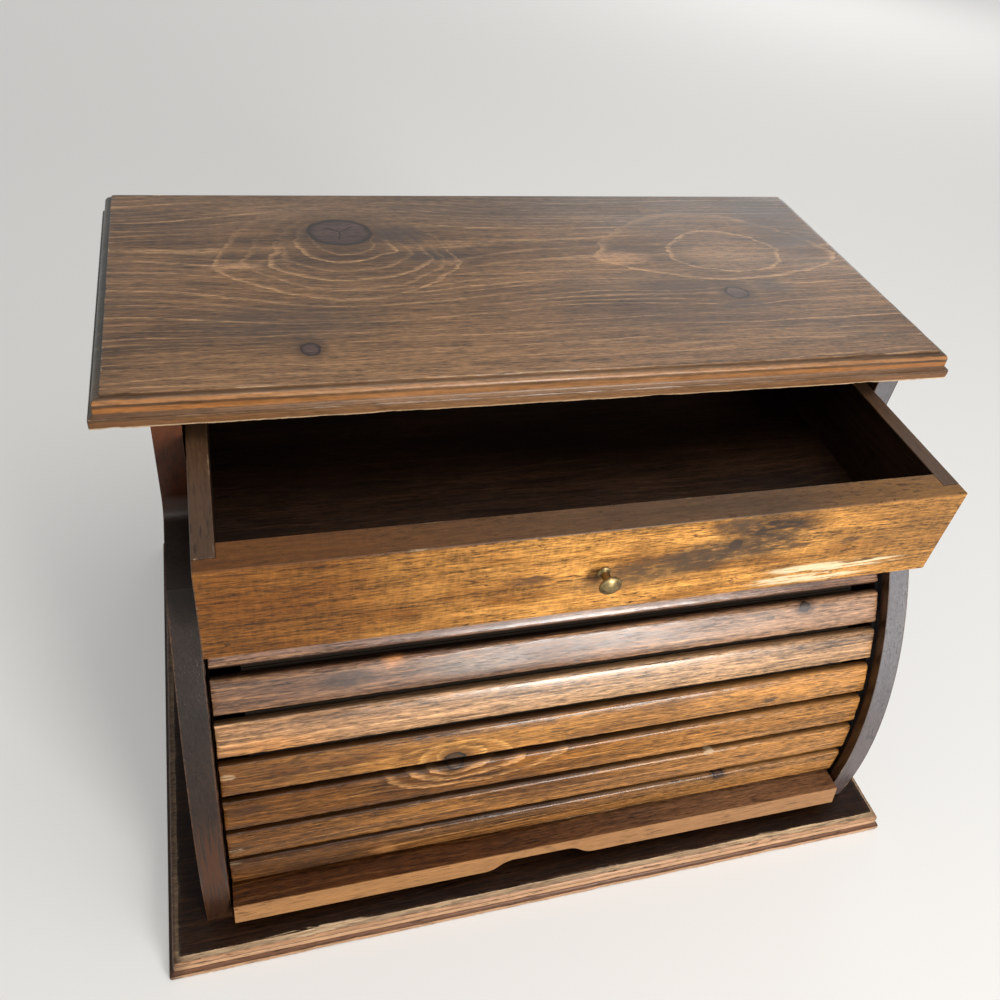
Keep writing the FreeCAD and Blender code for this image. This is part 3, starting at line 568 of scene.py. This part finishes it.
def easedCopy(node, material, width):
    # a copy of a node's own shape, merged, with its long arrises rounded
    mesh = frame["nodes"][node].data.copy()
    mesh.name = node + "Eased"
    shell = bmesh.new()
    shell.from_mesh(mesh)
    bmesh.ops.remove_doubles(shell, verts=shell.verts, dist=edgeLook["merge"] * mm)
    bmesh.ops.dissolve_limit(shell, angle_limit=math.radians(edgeLook["flat"]),
                             verts=shell.verts, edges=shell.edges)
    arrises = [e for e in shell.edges if len(e.link_faces) == 2
               and e.calc_face_angle(0) > math.radians(edgeLook["bevelled"])
               and e.calc_length() > edgeLook["shortest"] * mm]
    bmesh.ops.bevel(shell, geom=arrises, offset=width * mm, offset_type="OFFSET",
                    segments=edgeLook["segments"], profile=0.5, affect="EDGES", clamp_overlap=True)
    shell.to_mesh(mesh)
    shell.free()
    return finishMesh(node + "Eased", mesh, material)


def dress(piece, body, node):
    # the piece moves with the body and stands for the node
    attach(piece, body)
    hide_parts(node)


def repaint(node, material):
    frame["nodes"][node].data.materials.clear()
    frame["nodes"][node].data.materials.append(material)


camera = {
    "place": (-0.22816, -0.52435, 0.73215),     # metres
    "turn": (48.1759, -7.0722, -15.2161),       # degrees about X, Y and Z
    "lens": 33.759, "sensor": 36.0,             # millimetres
}
lens = bpy.data.cameras.new("camera")
lens.lens = camera["lens"]
lens.sensor_width = camera["sensor"]
lens.clip_start = 0.01
eye = bpy.data.objects.new("camera", lens)
eye.location = camera["place"]
eye.rotation_euler = Euler([math.radians(a) for a in camera["turn"]])
bpy.context.scene.collection.objects.link(eye)
bpy.context.scene.camera = eye

floorLook = {
    "seen": (0.56, 0.55, 0.535), "bounced": (0.24, 0.20, 0.16),     # to the eye, and back to the box
    "glow": (0.26, 0.26, 0.255), "farGlow": (0.56, 0.56, 0.55),     # near, and where it meets the sky
    "fade": (1.5, 6.0), "reach": 30.0, "below": 0.0002,             # metres
    "roughness": 0.8,
}
floorFinish = Finish("floorPaint")
floorSeen = floorFinish.seen()
metresAway = floorFinish.reach(floorFinish.local(), (0, 0), (1000, 1000))
floorGlow = floorFinish.mix(metresAway.ease(*floorLook["fade"]), floorLook["glow"], floorLook["farGlow"])
floorFinish.link(Base_Color=floorFinish.mix(floorSeen, floorLook["bounced"], floorLook["seen"]),
                 Emission_Color=floorFinish.mix(floorSeen, (0, 0, 0), floorGlow),
                 Emission_Strength=1.0, Roughness=floorLook["roughness"])
floorMesh = bpy.data.meshes.new("floor")
far = floorLook["reach"]
floorMesh.from_pydata([(-far, -far, 0), (far, -far, 0), (far, far, 0), (-far, far, 0)], [], [(0, 1, 2, 3)])
floorMesh.materials.append(floorFinish.material)
floor = bpy.data.objects.new("floor", floorMesh)
floor.location.z = -floorLook["below"]
bpy.context.scene.collection.objects.link(floor)

lamps = {
    # name: place, size, watts, colour; each points at the target
    "window": ((0.82, -2.3, 0.74), (0.75, 1.05), 70.0, (1.0, 0.985, 0.96)),
    "above": ((0.45, -0.5, 2.4), (1.6, 1.6), 24.0, (1.0, 0.99, 0.97)),
    "behind": ((2.0, 2.9, 1.1), (1.6, 0.8), 14.0, (1.0, 1.0, 1.0)),
}
target = Vector((0, -0.05, 0.2))
for name, (place, size, watts, colour) in lamps.items():
    lamp = bpy.data.lights.new(name, "AREA")
    lamp.shape = "RECTANGLE"
    lamp.size, lamp.size_y = size
    lamp.energy = watts
    lamp.color = colour
    stand = bpy.data.objects.new(name, lamp)
    stand.location = place
    stand.rotation_euler = (target - Vector(place)).to_track_quat("-Z", "Y").to_euler()
    bpy.context.scene.collection.objects.link(stand)

skyLook = {"lit": 0.32, "seen": 0.85, "colour": (1.0, 0.995, 0.985, 1.0)}
world = bpy.data.worlds.new("studio")
bpy.context.scene.world = world
world.use_nodes = True
sky = Graph(world.node_tree)
skyStrength = sky.seen() * (skyLook["seen"] - skyLook["lit"]) + skyLook["lit"]
background = world.node_tree.nodes["Background"]
background.inputs["Color"].default_value = skyLook["colour"]
world.node_tree.links.new(skyStrength.socket, background.inputs["Strength"])
bpy.context.scene.view_settings.view_transform = "Standard"
print("camera, floor and lights placed")

mouldLook = {
    "step": 1.5, "bead": 3.5, "fall": 5.0, "cove": 3.0,     # from the face down and outwards
    "arrisRound": 0.5, "cornerRound": 1.2, "lip": 0.6,
    "faceFlat": 40.0, "underFlat": 30.0,                    # how far in the flat middles begin
    "pace": 3.0,                                            # between two places of the outline
}


def mouldedBoard(node, material, worn, seed, chips):
    # the moulding is carried round the ends and the front, and the back edge stays plain
    (_, y0, z0), (x1, y1, z1) = boxOf(node)
    k = mouldLook
    thick = z1 - z0
    ledge = k["cove"] + k["bead"]
    bead = thick - k["step"] - k["bead"]
    fall = bead - k["fall"]
    r = k["arrisRound"]
    top, under, shoulder = k["faceFlat"], k["underFlat"], ledge + k["step"]
    face = easedProfile([(top, top, thick, 0), (shoulder, shoulder, thick, r),
                         (shoulder, shoulder, thick - k["step"], 0)])
    lip = easedProfile([(0, 0, fall - k["cove"] - k["lip"], 0), (0, 0, 0, r), (under, under, 0, 0)])
    profile = np.concatenate([
        face,
        quarter((ledge, bead), -k["bead"], -90, 0, 8),
        [[k["cove"], k["cove"], fall, 0.0]],
        quarter((0.0, fall), k["cove"], 0, -90, 7, 0.1)[1:-1],
        [[0.15, 0.15, fall - k["cove"] + 0.12, 1.0]],   # the cove's foot, a little rubbed
        lip,
    ])
    loop = rectangleLoop(x1, y0, y1, k["cornerRound"], k["pace"])
    return board(node + "Worn", loop, (0, y1), profile, np.eye(3), (0, 0, z0), material, worn, seed, chips)


topLook = dict(
    dark=(0.082, 0.042, 0.021), mid=(0.200, 0.104, 0.047), pale=(0.42, 0.24, 0.115),
    blotch=(180, 50, 60), spacing=7.5, rings=0.75, wander=16.0, origin=(0, 0, 367), lean=0.4,
    flows=[((-129, 135), (115, 78), 0.75), ((182, 115), (125, 62), 0.7),
           ((-170, -3), (20, 14), 0.8), ((168, 52), (34, 22), 0.8)],
    figures=[
        [((-129, 108), (99, 86), (51, 111), 1.25, 0.75, 0.8),
         ((-129, 109), (76, 74), (39, 96), 1.3, 0.75, 0.55),
         ((-129, 110), (58, 64), (27, 83), 1.3, 0.7, 0.9),
         ((-129, 122), (49, 47), (25, 66), 1.5, 0.6, 0.5),
         ((-129, 130), (37, 37), (20, 56), 1.6, 0.5, 1.0),
         ((-129, 138), (23, 24), (17, 50), 1.8, 0.4, 0.9)],
        [((180, 109), (109, 112), (37, 80), 1.3, 0.5, 0.9),
         ((187, 113), (51, 52), (29, 42), 1.9, 0.1, 1.0)],
    ],
    knots=[((-129, 158), (25, 21), (0.066, 0.037, 0.032)), ((-170, -3), (6.5, 7.5), (0.080, 0.045, 0.038)),
           ((168, 52), (10, 9), (0.100, 0.058, 0.048))],
    # the second tint, greyer over the back, is a painted reflection of a pale wall on the top
    tints=[((0, -45), (360, 70), (0.27, 0.145, 0.07), 0.55), ((0, 235), (330, 90), (0.13, 0.098, 0.075), 0.5),
           ((187, 116), (60, 34), (0.30, 0.17, 0.085), 0.7), ((90, 109), (28, 12), (0.46, 0.25, 0.12), 0.9),
           ((-212, 107), (26, 7), (0.40, 0.22, 0.11), 0.8), ((-52, 108), (15, 5), (0.40, 0.22, 0.11), 0.8)],
    smudgesAndLitPatches=[((-82, 153), (22, 16), (0.045, 0.032, 0.028), 0.75),
             ((-62, 118), (26, 12), (0.05, 0.034, 0.028), 0.6),
             ((-180, 30), (60, 26), (0.06, 0.042, 0.034), 0.45),
             ((262, 165), (34, 62), (0.06, 0.052, 0.052), 0.65),
             ((124, 60), (32, 10), (0.06, 0.042, 0.035), 0.6),
             ((203, 60), (20, 10), (0.05, 0.037, 0.033), 0.65),
             ((168, 33), (26, 5), (0.06, 0.042, 0.035), 0.6)],
    # painted shade: the dark bands in the cove (5.2 to 9.8), between the fall and the bead (13.4 to 15.4) and
    # on the step (17.9 to 19.6)
    bands=[("deep", -1, 5.2, (0.095, 0.031, 0.006), 0.9), ("deep", 5.2, 9.8, (0.034, 0.012, 0.003), 0.9),
           ("deep", 9.8, 13.8, (0.27, 0.092, 0.015), 0.9), ("deep", 13.4, 15.4, (0.016, 0.006, 0.002), 0.95),
           ("deep", 15.6, 17.6, (0.32, 0.130, 0.038), 0.85),
           ("deep", 17.9, 19.6, (0.010, 0.005, 0.003), 0.95),
           ("end", -2, 8.2, (0.030, 0.029, 0.023), 0.95), ("deep", -1, 1.2, (0.66, 0.48, 0.30), 0.85)],
    corner=(-305, -49),
    arris="attribute", wear=0.55, roughness=0.40, gloss=0.27, pores=0.35, fibre=1.15)
topWear = {
    "worn": 0.35, "seed": 5,    # chips: place, width, depth
    "chips": [((-292, -49), 5, 1.2), ((232, -49), 9, 0.8), ((-120, -49), 14, 0.5), ((60, -49), 8, 0.5)],
}
topBoard = mouldedBoard("top_board", wood("topWood", **topLook), **topWear)
dress(topBoard, "case", "top_board")

baseLook = dict(
    # the base is near black: a dark stain, deepened as painted shade under the pull rail
    dark=(0.006, 0.0024, 0.0012), mid=(0.018, 0.007, 0.003), pale=(0.05, 0.020, 0.008),
    # the dark band in the cove (5.2 to 7.2) is painted shade
    bands=[("deep", -1, 5.0, (0.48, 0.27, 0.145), 0.9), ("deep", 5.2, 7.2, (0.15, 0.07, 0.04), 0.9),
           ("deep", 7.6, 12.4, (0.56, 0.33, 0.185), 0.9), ("deep", 13.0, 16.0, (0.40, 0.22, 0.12), 0.9),
           ("deep", 16.2, 17.5, (0.52, 0.36, 0.22), 0.7)],
    tints=[((-303, 0), (16, 900), (0.035, 0.018, 0.012), 0.95),
           ((303, 0), (14, 900), (0.10, 0.055, 0.035), 0.6)],
    worn=[((-195, -215.5), (40, 2.6), 1.0), ((-100, -216), (60, 1.2), 0.9), ((60, -216), (70, 1.0), 0.9),
          ((200, -216), (80, 1.6), 0.95), ((-262, -216), (20, 1.2), 0.9)],
    spacing=7.0, rings=0.3, arris="attribute", wear=0.35, roughness=0.36, wearPatch=60.0, gloss=0.12)
baseWear = {"worn": 0.4, "seed": 8,
            "chips": [((-180, -223), 22, 0.7), ((40, -223), 14, 0.5), ((190, -223), 10, 0.9)]}
baseBoard = mouldedBoard("base_board", wood("baseWood", **baseLook), **baseWear)
dress(baseBoard, "case", "base_board")
print("top and base made")

sideLook = dict(
    order="zyx", dark=(0.026, 0.012, 0.006), mid=(0.085, 0.040, 0.020), pale=(0.16, 0.08, 0.04),
    spacing=7.0, rings=0.2, roughness=0.36, wear=0.5, pores=0.6,
    tints=[((20, -150), (150, 90), (0.045, 0.016, 0.006), 0.8)])
# the band on the left side is painted shadow, near black, as its front edge lies in the drawer's shade; the
# band on the right side is a painted reflection, bluish grey, the window's sheen on its front edge
edgeShadowBlack, edgeSheenGrey = (0.010, 0.007, 0.0055), (0.115, 0.112, 0.122)
leftLook = dict(
    sideLook, arris=boxOf("side_left"), gloss=0.28,
    bands=[("deep", -270.7, -254.1, edgeShadowBlack, 0.85)],
    worn=[((85, -165), (62, 40), 0.5)], wearColour=(0.10, 0.030, 0.006), scrape=(60, 45, 2.6),
    # a painted lit patch: reddish light on the top of the front edge, under the top board
    smudgesAndLitPatches=[((340, -42), (46, 12), (0.095, 0.026, 0.008), 1.0)])
rightLook = dict(
    sideLook, arris=boxOf("side_right"), gloss=0.5,
    bands=[("deep", 254.1, 270.7, edgeSheenGrey, 0.85)])
backLook = dict(
    dark=(0.12, 0.066, 0.036), mid=(0.20, 0.115, 0.062), pale=(0.32, 0.20, 0.11),
    spacing=11.0, rings=0.5, flows=[((60, 190), (160, 120), 0.7)], order="xzy", roughness=0.55, gloss=0.25,
    figures=[[((60, 190), (190, 170), (60, 80), 1.3, 0.4, 0.6),
              ((70, 190), (110, 100), (32, 46), 1.5, 0.4, 0.6)]])
shelfLook = dict(
    dark=(0.05, 0.024, 0.014), mid=(0.10, 0.05, 0.027), pale=(0.18, 0.10, 0.055),
    arris=boxOf("drawer_shelf"), wear=0.3, gloss=0.25)
for node, name, look, width, slot in (
        ("side_left", "leftSideWood", leftLook, 1.2, "side_wood"),
        ("side_right", "rightSideWood", rightLook, 1.2, "side_wood"),
        ("back_panel", "backWood", backLook, 0.4, "back_wood"),
        ("drawer_shelf", "shelfWood", shelfLook, 0.5, "side_wood")):
    dress(easedCopy(node, wood(name, **look), width), "case", node)
print("case made")

rimBrown = (0.078, 0.040, 0.020)    # darker brown on the drawer's upper edges
frontLook = dict(
    order="xzy", dark=(0.20, 0.078, 0.013), mid=(0.62, 0.295, 0.070),
    pale=(0.62, 0.32, 0.10), spacing=7.0, rings=0.3, blotch=(60, 20, 60), chatter=0.6, fibre=1.2,
    flows=[((84, 328), (36, 20), 0.8)],
    figures=[[((84, 327), (40, 24), (13, 14), 1.7, 0.2, 0.5), ((83, 328), (17, 12), (8, 9), 1.8, 0.2, 0.7)]],
    knots=[((82, 328), (5, 4), (0.05, 0.026, 0.018))],
    # the first tint, darker and redder towards the left, is partly stain and partly painted shade away from
    # the window
    tints=[((-250, 316), (230, 120), (0.12, 0.040, 0.006), 0.95),
           ((240, 325), (120, 90), (0.23, 0.105, 0.026), 0.8),
           ((90, 340), (8, 5), (0.55, 0.25, 0.09), 0.7)],
    smudgesAndLitPatches=[((106, 341), (38, 12), (0.030, 0.017, 0.010), 1.0),
             ((108, 324), (28, 12), (0.045, 0.026, 0.015), 0.95),
             ((66, 322), (32, 12), (0.055, 0.032, 0.018), 0.95),
             ((38, 314), (44, 12), (0.065, 0.038, 0.020), 0.9),
             ((4, 305), (34, 9), (0.085, 0.048, 0.024), 0.7), ((78, 346), (20, 7), (0.07, 0.04, 0.022), 0.8),
             ((-57, 316), (15, 4), (0.08, 0.038, 0.018), 0.9),
             ((133, 320), (9, 3), (0.07, 0.035, 0.018), 0.85),
             ((171, 320), (8, 3), (0.07, 0.035, 0.018), 0.85)],
    # the near-black band on the back of the front is painted shade, as inside the drawer
    bands=[("across", 352.2, 354, rimBrown, 0.95), ("deep", -138.5, -130, (0.02, 0.009, 0.004), 0.95)],
    worn=[((170, 295.5), (58, 4.6), 1.0), ((152, 286.5), (48, 4.6), 1.0)], scrape=(30, 2.1, 3),
    wearColour=(0.90, 0.70, 0.44), arris=boxOf("drawer_front"), wear=0.3, roughness=0.5, gloss=0.22,
    pores=0.95, poreLength=8.0)
front = easedCopy("drawer_front", wood("frontWood", **frontLook), 0.7)
dress(front, "drawer", "drawer_front")

# near black inside the drawer: painted shade under the top board
shadedInsideLook = dict(dark=(0.012, 0.005, 0.002), mid=(0.030, 0.013, 0.006), pale=(0.06, 0.028, 0.013),
                  rings=0.3, gloss=0.25, roughness=0.45, wear=0.4)
rim = [("across", 352.2, 354, rimBrown, 0.9)]
for node, order, bands in (("drawer_side_left", "yzx", rim), ("drawer_side_right", "yzx", rim),
                           ("drawer_back", "xzy", rim), ("drawer_bottom", "xyz", [])):
    material = wood(node + "Wood", order=order, arris=boxOf(node), bands=bands, **shadedInsideLook)
    dress(easedCopy(node, material, 0.6), "drawer", node)
print("drawer made")

slatShape = {
    "thick": 8.8, "back": 0.8, "wood": (2.4, 28.8),     # out of the canvas, and up it from the lower joint
    "round": 3.4, "endRound": 0.6, "crown": 0.5,
    "cornerRound": 0.5, "pace": 4.0, "worn": 0.3,
}
jointPlace = {j["name"]: np.array(j["pos_m"]) / mm for j in frame["joints"] if "pos_m" in j}
slatJoints = [jointPlace[f"slat_{i}_fold"] for i in range(1, 9)] + [jointPlace["rail_fold"]]
# painted shade over the slats' left ends and painted light over their right ends, where the window light
# falls
paintedShadeLeft = ((-250, 15), (140, 60), (0.060, 0.020, 0.004), 0.6)
paintedLightRight = ((200, 15), (190, 60), (0.40, 0.185, 0.055), 0.5)
slatBase = dict(
    dark=(0.075, 0.027, 0.006), mid=(0.25, 0.108, 0.028), pale=(0.46, 0.23, 0.085), blotch=(110, 16, 40),
    spacing=5.5, rings=0.5, wander=10.0, arris="attribute", wear=0.25, roughness=0.34, gloss=0.42,
    fibre=1.3, tints=[paintedShadeLeft, paintedLightRight],
    bands=[("across", -2, 3.6, (0.020, 0.009, 0.004), 0.8),
           ("across", 27.9, 33, (0.035, 0.018, 0.011), 0.8)])
underShelf = {"dark": (0.11, 0.052, 0.032), "mid": (0.22, 0.115, 0.070), "tints": []}
slatLooks = {
    1: underShelf,
    2: underShelf,
    3: {"knots": [((185, 24), (5, 4), (0.05, 0.025, 0.016))], "flows": [((185, 24), (18, 9), 0.8)],
        "dark": (0.085, 0.038, 0.019), "mid": (0.20, 0.100, 0.052),
        "smudgesAndLitPatches": [((-161, 17), (22, 6), (0.04, 0.022, 0.016), 0.9),
                    ((155, 19), (4, 2), (0.05, 0.03, 0.02), 0.9)],
        "tints": [((-133, 25), (10, 5), (0.50, 0.21, 0.07), 0.85),
                  # the next two tints are painted sheen of the window light: a pale patch in the middle and
                  # pinkish tan over the right
                  ((-72, 15), (46, 9), (0.36, 0.28, 0.22), 0.4),
                  ((180, 15), (190, 60), (0.36, 0.20, 0.11), 0.6)]},
    4: {"rings": 1.0, "spacing": 5.2, "wander": 4.0,
        "dark": (0.12, 0.055, 0.024), "mid": (0.28, 0.140, 0.060), "pale": (0.56, 0.31, 0.14),
        "tints": [((-215, 7), (45, 9), (0.42, 0.18, 0.050), 0.7),
                  # painted sheen of the window light, pale over the middle and right
                  ((60, 15), (260, 60), (0.48, 0.28, 0.14), 0.6)]},
    5: {"knots": [((-91, 5), (7.5, 5), (0.045, 0.022, 0.010))], "flows": [((-91, 6), (28, 14), 0.8)],
        "figures": [[((-88, 5), (28, 38), (12, 15), 1.9, 0.1, 0.9),
                     ((-89, 5), (15, 20), (8, 10), 1.9, 0.1, 1.0)]],
        "worn": [((-246, 20), (5, 2.5), 0.6)], "smudgesAndLitPatches": [((164, 10), (6, 3), (0.06, 0.035, 0.018), 0.9)],
        "dark": (0.115, 0.042, 0.009), "mid": (0.33, 0.145, 0.032), "pale": (0.50, 0.25, 0.07),
        "gloss": 0.28},
    6: {"knots": [((-90, 30), (7, 5), (0.045, 0.022, 0.010))], "flows": [((-91, 31), (26, 12), 0.8)],
        "figures": [[((-84, 32), (60, 80), (20, 20), 1.5, 0.1, 0.7),
                     ((-86, 32), (42, 52), (14, 20), 1.6, 0.1, 0.9),
                     ((-88, 32), (24, 30), (9, 20), 1.8, 0.1, 0.9)]],
        "smudgesAndLitPatches": [((-234, 21), (12, 5), (0.05, 0.02, 0.008), 0.8)],
        "dark": (0.055, 0.018, 0.003), "mid": (0.23, 0.088, 0.014), "rings": 0.5, "gloss": 0.2},
    7: {"worn": [((-246, 13), (5, 3), 0.6), ((119, 27), (5, 2.5), 0.9)], "rings": 0.5,
        "dark": (0.095, 0.034, 0.006), "mid": (0.26, 0.108, 0.024), "gloss": 0.22},
    8: {"knots": [((135, 27), (5, 3.5), (0.07, 0.035, 0.02))], "flows": [((135, 27), (18, 8), 0.8)],
        "worn": [((18, 3), (40, 3), 0.95)],
        "smudgesAndLitPatches": [((-190, 12), (50, 8), (0.035, 0.018, 0.011), 0.8),
                    ((-140, 12), (10, 6), (0.34, 0.15, 0.05), 0.7)],
        "dark": (0.045, 0.017, 0.004), "mid": (0.17, 0.070, 0.018), "gloss": 0.2},
}


def laidOut(index):
    # a slat's lower joint, its turn about X, and its own axes: X, up the canvas, out of its face
    lower, upper = slatJoints[index], slatJoints[index - 1]
    turn = math.atan2(upper[2] - lower[2], upper[1] - lower[1]) if index else 0.0
    up = (0, math.cos(turn), math.sin(turn))
    out = (0, -math.sin(turn), math.cos(turn))
    return lower, turn, [(1, 0, 0), up, out]


def slatPiece(node, body, index, look, seed):
    # the outline runs along X and up the canvas, the profile from the back to the face
    lower, turn, axes = laidOut(index)
    material = wood(node + "Wood", origin=lower, turn=turn, **{**slatBase, **look})
    s = slatShape
    shoulder = s["thick"] - s["round"]
    edges = easedProfile([(25, 10, s["back"], 0), (0, 0, s["back"], 0.5),
                          (s["endRound"] * 0.3, 0, shoulder, 0)])
    angle = np.radians(np.linspace(0, 90, 7))
    crest = np.stack([s["endRound"] * (1 - np.cos(angle)), s["round"] * (1 - np.cos(angle)),
                      shoulder + (s["round"] - s["crown"]) * np.sin(angle), np.full(7, 0.9)], 1)
    crest[0, 3] = 0.2
    face = [[2.0, 5.0, s["thick"] - s["crown"] * 0.5, 0.0],
            [4.0, 8.0, s["thick"] - s["crown"] * 0.15, 0.0],
            [9.0, 12.0, s["thick"], 0.0]]
    low, high = s["wood"]
    loop = rectangleLoop(boxOf(node)[1][0], low, high, s["cornerRound"], s["pace"])
    piece = board(node + "Worn", loop, (0, (low + high) / 2), np.concatenate([edges, crest, face]),
                  axes, lower, material, s["worn"], seed)
    dress(piece, body, node)


for index in range(1, 9):
    slatPiece(f"slat_{index}", f"tambour_{index}", index, slatLooks[index], 20 + index)
slatPiece("lead_slat", "tambour_lead", 0, {}, 40)
print("slats made")

railLook = dict(
    order="xzy", dark=(0.022, 0.006, 0.0012), mid=(0.075, 0.023, 0.005), pale=(0.24, 0.10, 0.03),
    spacing=6.0, rings=0.35, roughness=0.36, gloss=0.22, arris=boxOf("pull_rail"), wear=0.2,
    bands=[("deep", -206, -200.9, (0.34, 0.165, 0.060), 0.85)],
    tints=[((190, 40), (220, 60), (0.24, 0.125, 0.065), 0.4)])
rail = easedCopy("pull_rail", wood("railWood", **railLook), 0.8)
dress(rail, "tambour_rail", "pull_rail")

canvasLook = {
    # near black: partly dirt, partly painted shade in the gaps between the slats
    "thread": 0.9, "warp": (0.008, 0.0055, 0.004), "weft": (0.022, 0.015, 0.010), "relief": 0.12,
    "arrisRound": 0.15, "cornerRound": 0.3, "pace": 4.0, "worn": 0.1,
}
canvasFinish = Finish("canvasWeave")
laid = canvasFinish.attribute("laid", 1)
perThread = [math.pi / canvasLook["thread"]] * 3
warpWave, weftWave, _ = canvasFinish.parts(canvasFinish.vector("MULTIPLY", laid, perThread))
over = warpWave.maths("SINE") * weftWave.maths("SINE")
slub = canvasFinish.noise(laid, (9, 9, 9), 3.0, 0.6).ease(0.3, 0.7)
canvasColour = canvasFinish.mix(over.ease(-0.8, 0.8), canvasLook["warp"], canvasLook["weft"])
canvasColour = canvasFinish.mix(slub * 0.4, canvasColour, canvasLook["warp"])
canvasFinish.link(Base_Color=canvasColour, Roughness=0.9, Specular_IOR_Level=0.1)
canvasFinish.relief(over.size(), canvasLook["relief"])


def canvasStrip(node, body, index):
    # one strip of the canvas, between its slat's two joints: a thin flat plate with soft edges
    k = canvasLook
    lower, _, axes = laidOut(index)
    mesh = frame["nodes"][node].data
    corners = np.empty(len(mesh.vertices) * 3, np.float32)
    mesh.vertices.foreach_get("co", corners)
    if node == "canvas_rail":
        axes = [(1, 0, 0), (0, 0, 1), (0, -1, 0)]
    local = (corners.reshape(-1, 3) / mm - lower) @ np.array(axes).T
    (_, low, back), (x1, high, face) = local.min(0), local.max(0)
    loop = rectangleLoop(x1, low, high, k["cornerRound"], k["pace"])
    profile = easedProfile([(6, 6, back, 0), (0, 0, back, k["arrisRound"]),
                            (0, 0, face, k["arrisRound"]), (6, 6, face, 0)], 0.3)
    profile[:, 3] *= 0.3
    strip = board(node + "Cloth", loop, (0, (low + high) / 2), profile, axes, lower,
                  canvasFinish.material, k["worn"], 60 + index)
    dress(strip, body, node)
    2 * x1 * mm
    (high - low) * mm


canvasStrip("canvas_lead", "tambour_lead", 0)
for index in range(1, 9):
    canvasStrip(f"canvas_{index}", f"tambour_{index}", index)
canvasStrip("canvas_rail", "tambour_rail", 8)
print("tambour made")

knobPlace = (-7.5, -160, 316.5)
brassLook = {"bright": (0.30, 0.22, 0.10), "tarnish": (0.10, 0.072, 0.034), "roughness": 0.38,
             "duller": 0.15, "relief": 0.03}
brassFinish = Finish("agedBrass")
brassPlace = brassFinish.local(knobPlace)
tarnish = brassFinish.noise(brassPlace, (5, 5, 5), 4.0, 0.6).ease(0.3, 0.7)
brassFinish.link(Base_Color=brassFinish.mix(tarnish, brassLook["bright"], brassLook["tarnish"]),
                 Metallic=1.0, Roughness=tarnish * brassLook["duller"] + brassLook["roughness"])
brassFinish.relief(brassFinish.noise(brassPlace, (0.6, 0.6, 0.6), 3.0), brassLook["relief"])


def turned(name, outline, origin, material, count=64):
    # a lathe-turned piece: the outline (radius, out) is carried round an axis along -Y
    outline = np.array(outline, float)
    angle = np.linspace(0, 2 * np.pi, count, endpoint=False)
    radius, out = outline[:, 0, None], outline[:, 1, None]
    points = np.stack([radius * np.cos(angle), -out * np.ones_like(angle), radius * np.sin(angle)], -1)
    return surface(name, points + np.array(origin), {}, material)


def knobOutline():
    # flange, waisted neck, flared underside, round rim, and a face that rises as 1 - share^2
    neck = [(4.45, 0.0), (4.5, 0.2), (4.5, 1.0), (4.35, 1.2), (3.9, 1.35), (3.3, 1.8), (2.95, 2.5),
            (2.8, 3.4), (2.8, 8.4), (3.0, 9.2), (3.6, 9.9), (4.6, 10.45), (5.8, 10.85), (6.5, 11.05)]
    angle = np.radians(np.linspace(-80, 80, 9))
    rim = np.stack([6.3 + 1.2 * np.cos(angle), 12.2 + 1.2 * np.sin(angle)], 1)
    bow = np.linspace(1, 0.02, 12)
    dome = np.stack([6.3 * bow, 13.4 + 2.2 * (1 - bow**2)], 1)
    return np.concatenate([neck, rim, dome])


dress(turned("knobTurned", knobOutline(), knobPlace, brassFinish.material), "drawer", "knob")

steelLook = {"dull": (0.22, 0.21, 0.20), "bright": (0.42, 0.41, 0.39), "roughness": 0.35, "duller": 0.2}
steelFinish = Finish("dullSteel")
steelPatch = steelFinish.noise(steelFinish.local(), (2, 2, 2), 3.0)
steelFinish.link(Base_Color=steelFinish.mix(steelPatch, steelLook["dull"], steelLook["bright"]),
                 Metallic=1.0, Roughness=steelPatch * steelLook["duller"] + steelLook["roughness"])
for node in ("base_screws", "back_nails", "drawer_nails", "knob_screw"):
    repaint(node, steelFinish.material)
dowelLook = dict(order="zyx", dark=(0.35, 0.25, 0.15), mid=(0.50, 0.37, 0.23), pale=(0.6, 0.46, 0.3))
repaint("top_dowels", wood("dowelWood", **dowelLook))
print("knob and fasteners made")
